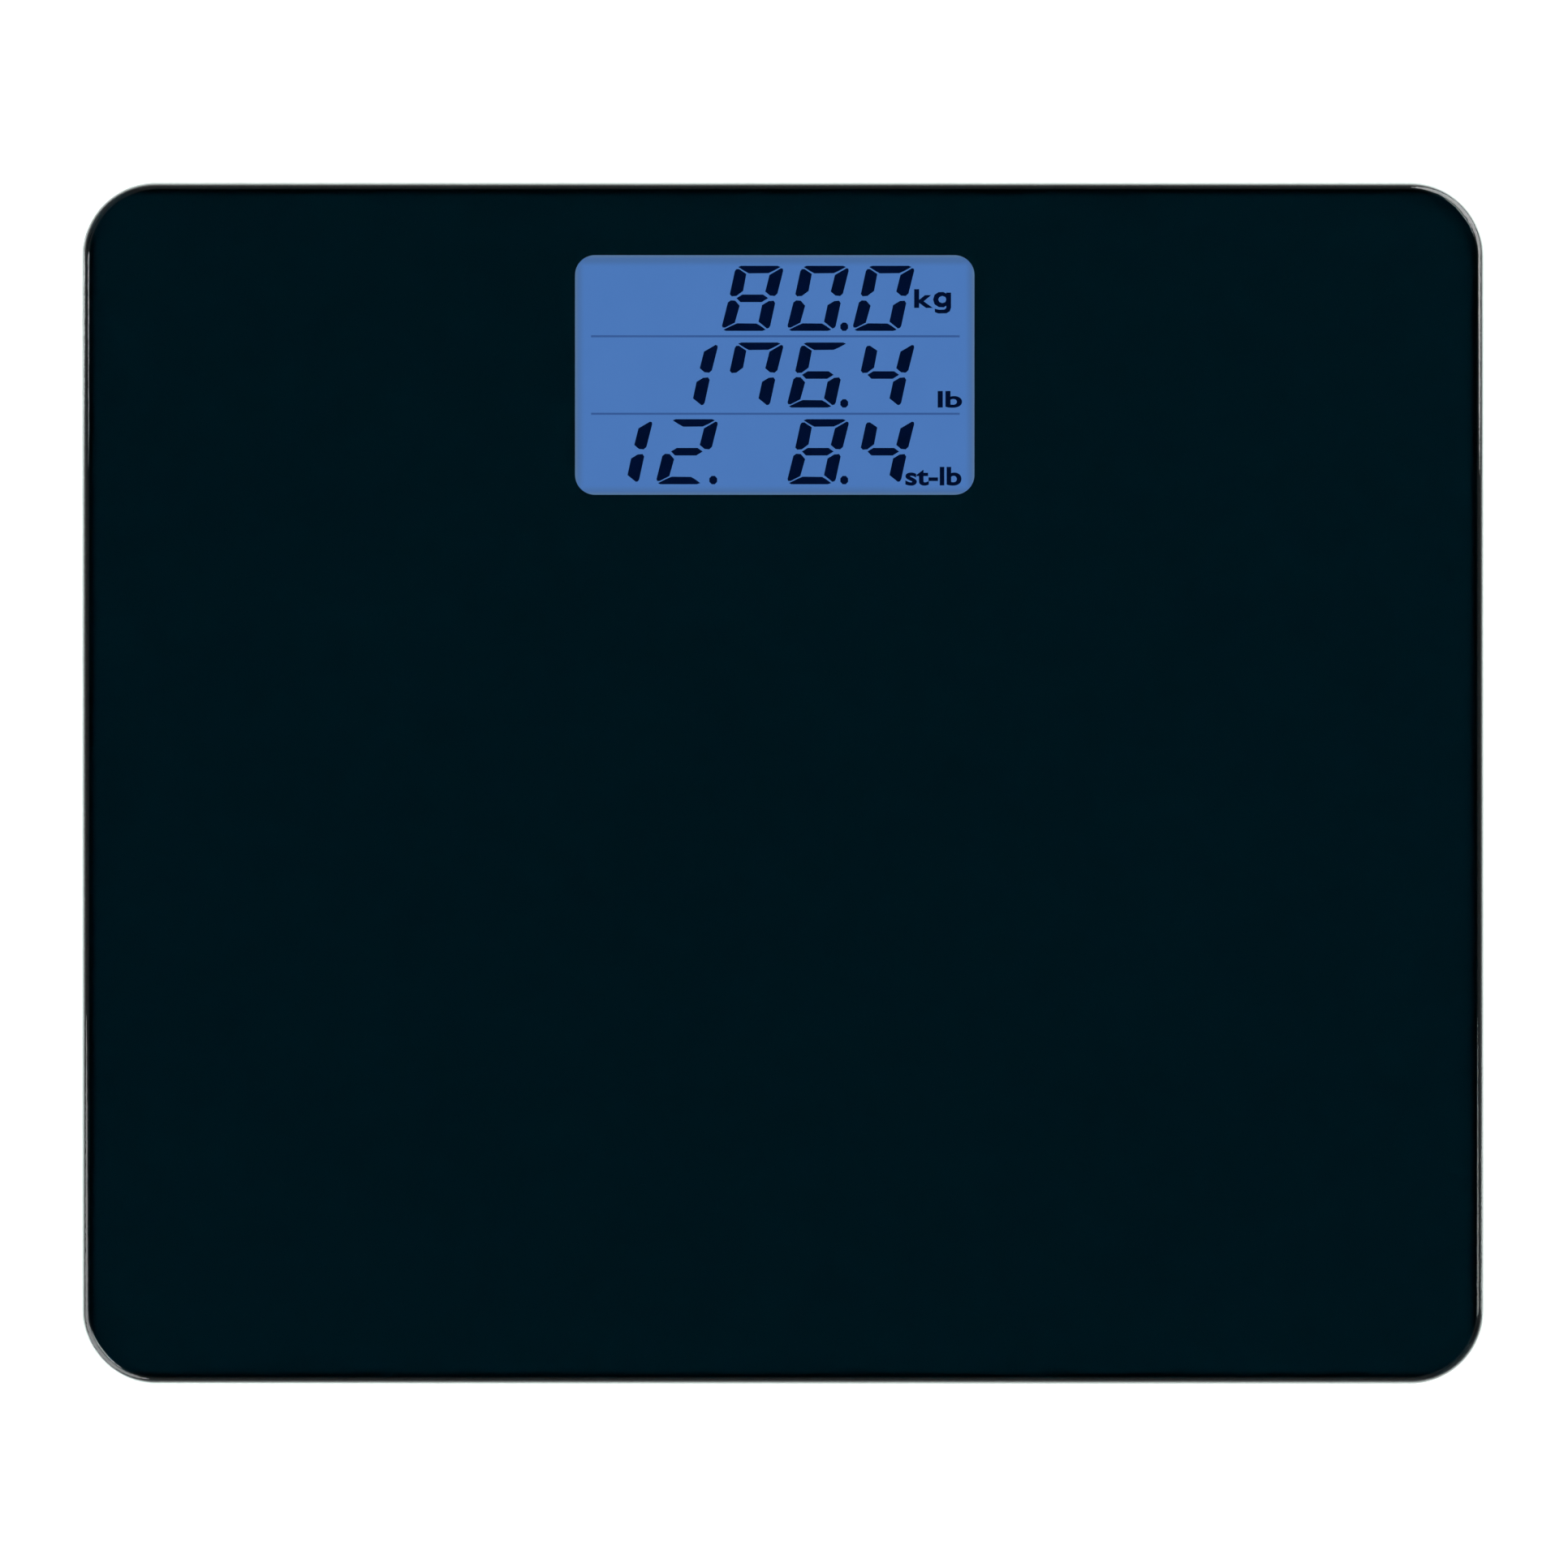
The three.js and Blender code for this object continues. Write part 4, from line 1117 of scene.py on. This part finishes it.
# %% Ribs for a thumb
door_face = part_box("battery_door")[0].z
latch_low, latch_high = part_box("door_latch")
latch_middle = (latch_low.x + latch_high.x) / 2
rib_length, rib_width, rib_height, rib_pitch = 13 * MM, 0.9 * MM, 0.35 * MM, 1.9 * MM
rib_count, first_rib, rib_sink = 4, latch_high.y + 5.2 * MM, 0.1 * MM
ribs = []
for n in range(rib_count):
    y = first_rib + n * rib_pitch
    low = Vector((latch_middle - rib_length / 2, y, door_face - rib_height))
    high = Vector((latch_middle + rib_length / 2, y + rib_width, door_face + rib_sink))
    ribs.append(rounded_slab("rib", low, high, 0.44 * MM, 0.12 * MM, 6, 3))
grip = smooth(joined("door_grip_ribs", ribs))
finish_with(grip, textured_abs, "battery_door")

# %% [markdown]
# ## The arrow on the door
# A small raised arrow says which way the door opens. A circle with three corners is a triangle: it is
# filled, extruded to the height of the ribs, rounded at its upright corners and softened by a Bevel
# modifier.

# %% The arrow on the door
arrow_radius, arrow_height, arrow_sink = 4.6 * MM, 0.35 * MM, 0.3 * MM
arrow_place = (latch_middle, latch_high.y + 17 * MM, door_face - arrow_sink)
bpy.ops.mesh.primitive_circle_add(vertices=3, radius=arrow_radius, fill_type="NGON", location=(0, 0, 0))
arrow = bpy.context.object
arrow.name = arrow.data.name = "door_opening_arrow"
edit(arrow)
pick(arrow, "FACE", lambda face: True)
bpy.ops.mesh.extrude_region_move(TRANSFORM_OT_translate={"value": (0, 0, arrow_height)})
pick(arrow, "EDGE", lambda edge: abs(edge.verts[0].co.z - edge.verts[1].co.z) > arrow_height / 2)
bpy.ops.mesh.bevel(offset=0.5 * MM, segments=4, affect="EDGES")
bpy.ops.mesh.select_all(action="SELECT")
bpy.ops.mesh.normals_make_consistent(inside=False)
close_edit(arrow)
arrow.location = arrow_place
settle(arrow)
add_modifier(arrow, "BEVEL", width=0.1 * MM, segments=2, limit_method="ANGLE", harden_normals=True)
finish_with(arrow, textured_abs, "battery_door")

# %% [markdown]
# ## The blank label
# A matt silver paper label is stuck on the housing behind the door. It is left blank. A flat colour on
# the housing would have no edge to catch the light, so it is a thin slab with round corners. Its paper
# has faint fibres that run one way, so its mottle is stretched.

# %% The blank label
label_half, label_centre_y = Vector((32 * MM, 15 * MM, 0)), 98 * MM
label_gap, label_thickness = 0.02 * MM, 0.1 * MM
housing_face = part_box("housing")[0].z
label_centre = Vector((window_centre.x, label_centre_y, housing_face - label_gap))
label_low = label_centre - label_half - Vector((0, 0, label_thickness))
label_high = label_centre + label_half
label = rounded_slab("blank_paper_label", label_low, label_high, 2 * MM, 0.03 * MM, 8, 2)
label_paper = new_finish("matt_silver_paper", "9FA2A4", 0.55, Metallic=0.25)
mottle(label_paper, "A9ACAD", 2.5, stretch=(1, 3, 1))
grain(label_paper, 0.4, 0.015, 0.6)
finish_with(smooth(label), label_paper, "platform")

# %% [markdown]
# ## The steel of the load cells
# A load cell is stamped from rolled spring steel. Rolling leaves fine lines along one way, so the gloss
# and the bump are stretched along Y. The strain gauge on it is sealed under a drop of white silicone,
# which lets a little light in.

# %% Steel and silicone
spring_steel = new_finish("stamped_spring_steel", "B4B7B9", 0.34, Metallic=1.0)
drift(spring_steel, 0.26, 0.42, 0.7, (1, 12, 1))
grain(spring_steel, 0.35, 0.006, 0.6, (1, 10, 1))
mottle(spring_steel, "A5A8AA", 5)
gauge_silicone = new_finish(
    "white_silicone_drop", "E4E5E1", 0.3, IOR=1.41, Subsurface_Weight=0.15, Subsurface_Scale=0.001
)
mottle(gauge_silicone, "D6D7D2", 2)
drift(gauge_silicone, 0.22, 0.42, 2)

# %% [markdown]
# ## Cups, load cells and gauges
# Each foot is a moulded cup glued under the corner, with a steel load cell clipped in it and the gauge on
# the cell's tongue. All three are softened copies: a third of a millimetre for the moulding, a tenth for
# the stamping, and a wide round for the drop.

# %% Cups, load cells and gauges
for foot in foot_names:
    cup = softened_copy("foot_bracket_" + foot, "foot_cup_" + foot, 0.35)
    finish_with(cup, textured_abs, "platform", ["foot_bracket_" + foot])
    cell = softened_copy("load_cell_" + foot, "load_cell_plate_" + foot, 0.12)
    finish_with(cell, spring_steel, "platform", ["load_cell_" + foot])
    gauge = softened_copy("strain_gauge_" + foot, "gauge_drop_" + foot, 0.3, 4)
    finish_with(gauge, gauge_silicone, "platform", ["strain_gauge_" + foot])

# %% [markdown]
# ## Rubber and satin plastic
# The sole is a soft grey rubber, moulded matt and a little uneven. The pad above it is the same ABS as
# the housing, but from a smoother mould, so it has a lower bump and more gloss.

# %% Rubber and satin plastic
sole_rubber = new_finish("moulded_grey_rubber", "2B2D2F", 0.75, IOR=1.52)
mottle(sole_rubber, "35383A", 6)
grain(sole_rubber, 0.5, 0.03, 0.8)
drift(sole_rubber, 0.65, 0.85, 5)
pad_abs = new_finish("satin_moulded_abs", "232527", 0.42, IOR=1.54)
mottle(pad_abs, "2A2D2F", 9)
drift(pad_abs, 0.36, 0.52, 6)
grain(pad_abs, 0.5, 0.012, 0.6)

# %% [markdown]
# ## The pads
# A round pad pushes on the load cell from below. It is turned from one line: a shallow groove that holds
# glue, a skirt, a waist, a flange that the cup catches, and a post in the middle. The real cell bends as
# the post pushes. The steel plate here can't, so the post stops short of it by a little more than the
# foot's travel.

# %% The pads
travel_gap, foot_round, skirt_top = 0.52, 0.6, 5.6
waist, flange, flange_low, flange_high, post = 16, 19.5, 8.7, 10.2, 6
edge_round, root_round = 0.3, 0.4


def middle_of(node):
    """The point on the floor below the middle of a node."""
    low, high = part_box(node)
    return Vector(((low.x + high.x) / 2, (low.y + high.y) / 2, 0))


def eased(radius, height, size, upward=1):
    """Four points that round a turned corner of this size, from the face to the wall."""
    turn = [math.radians(a) for a in (0, 30, 60, 90)]
    return [(radius - size * (1 - math.sin(t)), height + upward * size * (1 - math.cos(t))) for t in turn]


def foot_pad(foot):
    """Turn the pad of one foot."""
    low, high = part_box("foot_pad_" + foot)
    bottom, radius, post_top = low.z / MM, (high.x - low.x) / MM / 2, high.z / MM - travel_gap
    groove = bottom + 0.3
    profile = [(0, bottom), (13, bottom), (13.4, groove), (14.2, groove), (14.6, bottom)]
    profile += eased(radius, bottom, foot_round)
    profile += eased(radius, skirt_top, foot_round, upward=-1)[::-1]
    profile += [(waist, skirt_top), (waist, flange_low), (flange - edge_round, flange_low)]
    profile += [(flange, flange_low + edge_round), (flange, flange_high - edge_round)]
    profile += [(flange - edge_round, flange_high), (post + root_round, flange_high)]
    profile += [(post, flange_high + root_round), (post, post_top - edge_round)]
    profile += [(post - edge_round, post_top), (0, post_top)]
    pad = turned_piece("pad_" + foot, profile, middle_of("foot_pad_" + foot), 72)
    finish_with(smooth(pad), pad_abs, "foot_" + foot, ["foot_pad_" + foot])


for foot in foot_names:
    foot_pad(foot)

# %% [markdown]
# ## The soles
# The rubber sole has ring grooves, so that it grips a wet floor. A bump would vanish from the side, so
# the grooves are in the line that is turned: each goes up a short slope, along and down again. The outer
# corner is well rounded, as rubber leaves its mould.

# %% The soles
groove_count, first_groove, groove_pitch = 5, 3.5, 3
groove_width, groove_slope, groove_depth = 1.3, 0.3, 0.45


def foot_sole(foot):
    """Turn the sole of one foot."""
    low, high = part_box("foot_sole_" + foot)
    top, radius = high.z / MM, (high.x - low.x) / MM / 2
    profile = [(0, 0)]
    for n in range(groove_count):
        start = first_groove + n * groove_pitch
        end = start + groove_width
        profile += [(start, 0), (start + groove_slope, groove_depth)]
        profile += [(end - groove_slope, groove_depth), (end, 0)]
    profile += [(radius - 1.6, 0), (radius - 0.7, 0.25), (radius - 0.15, 0.7), (radius, 1.2)]
    profile += [(radius, top - 0.2), (radius - 0.2, top), (0, top)]
    sole = turned_piece("sole_" + foot, profile, middle_of("foot_sole_" + foot), 72)
    finish_with(smooth(sole, 25), sole_rubber, "foot_" + foot, ["foot_sole_" + foot])


for foot in foot_names:
    foot_sole(foot)
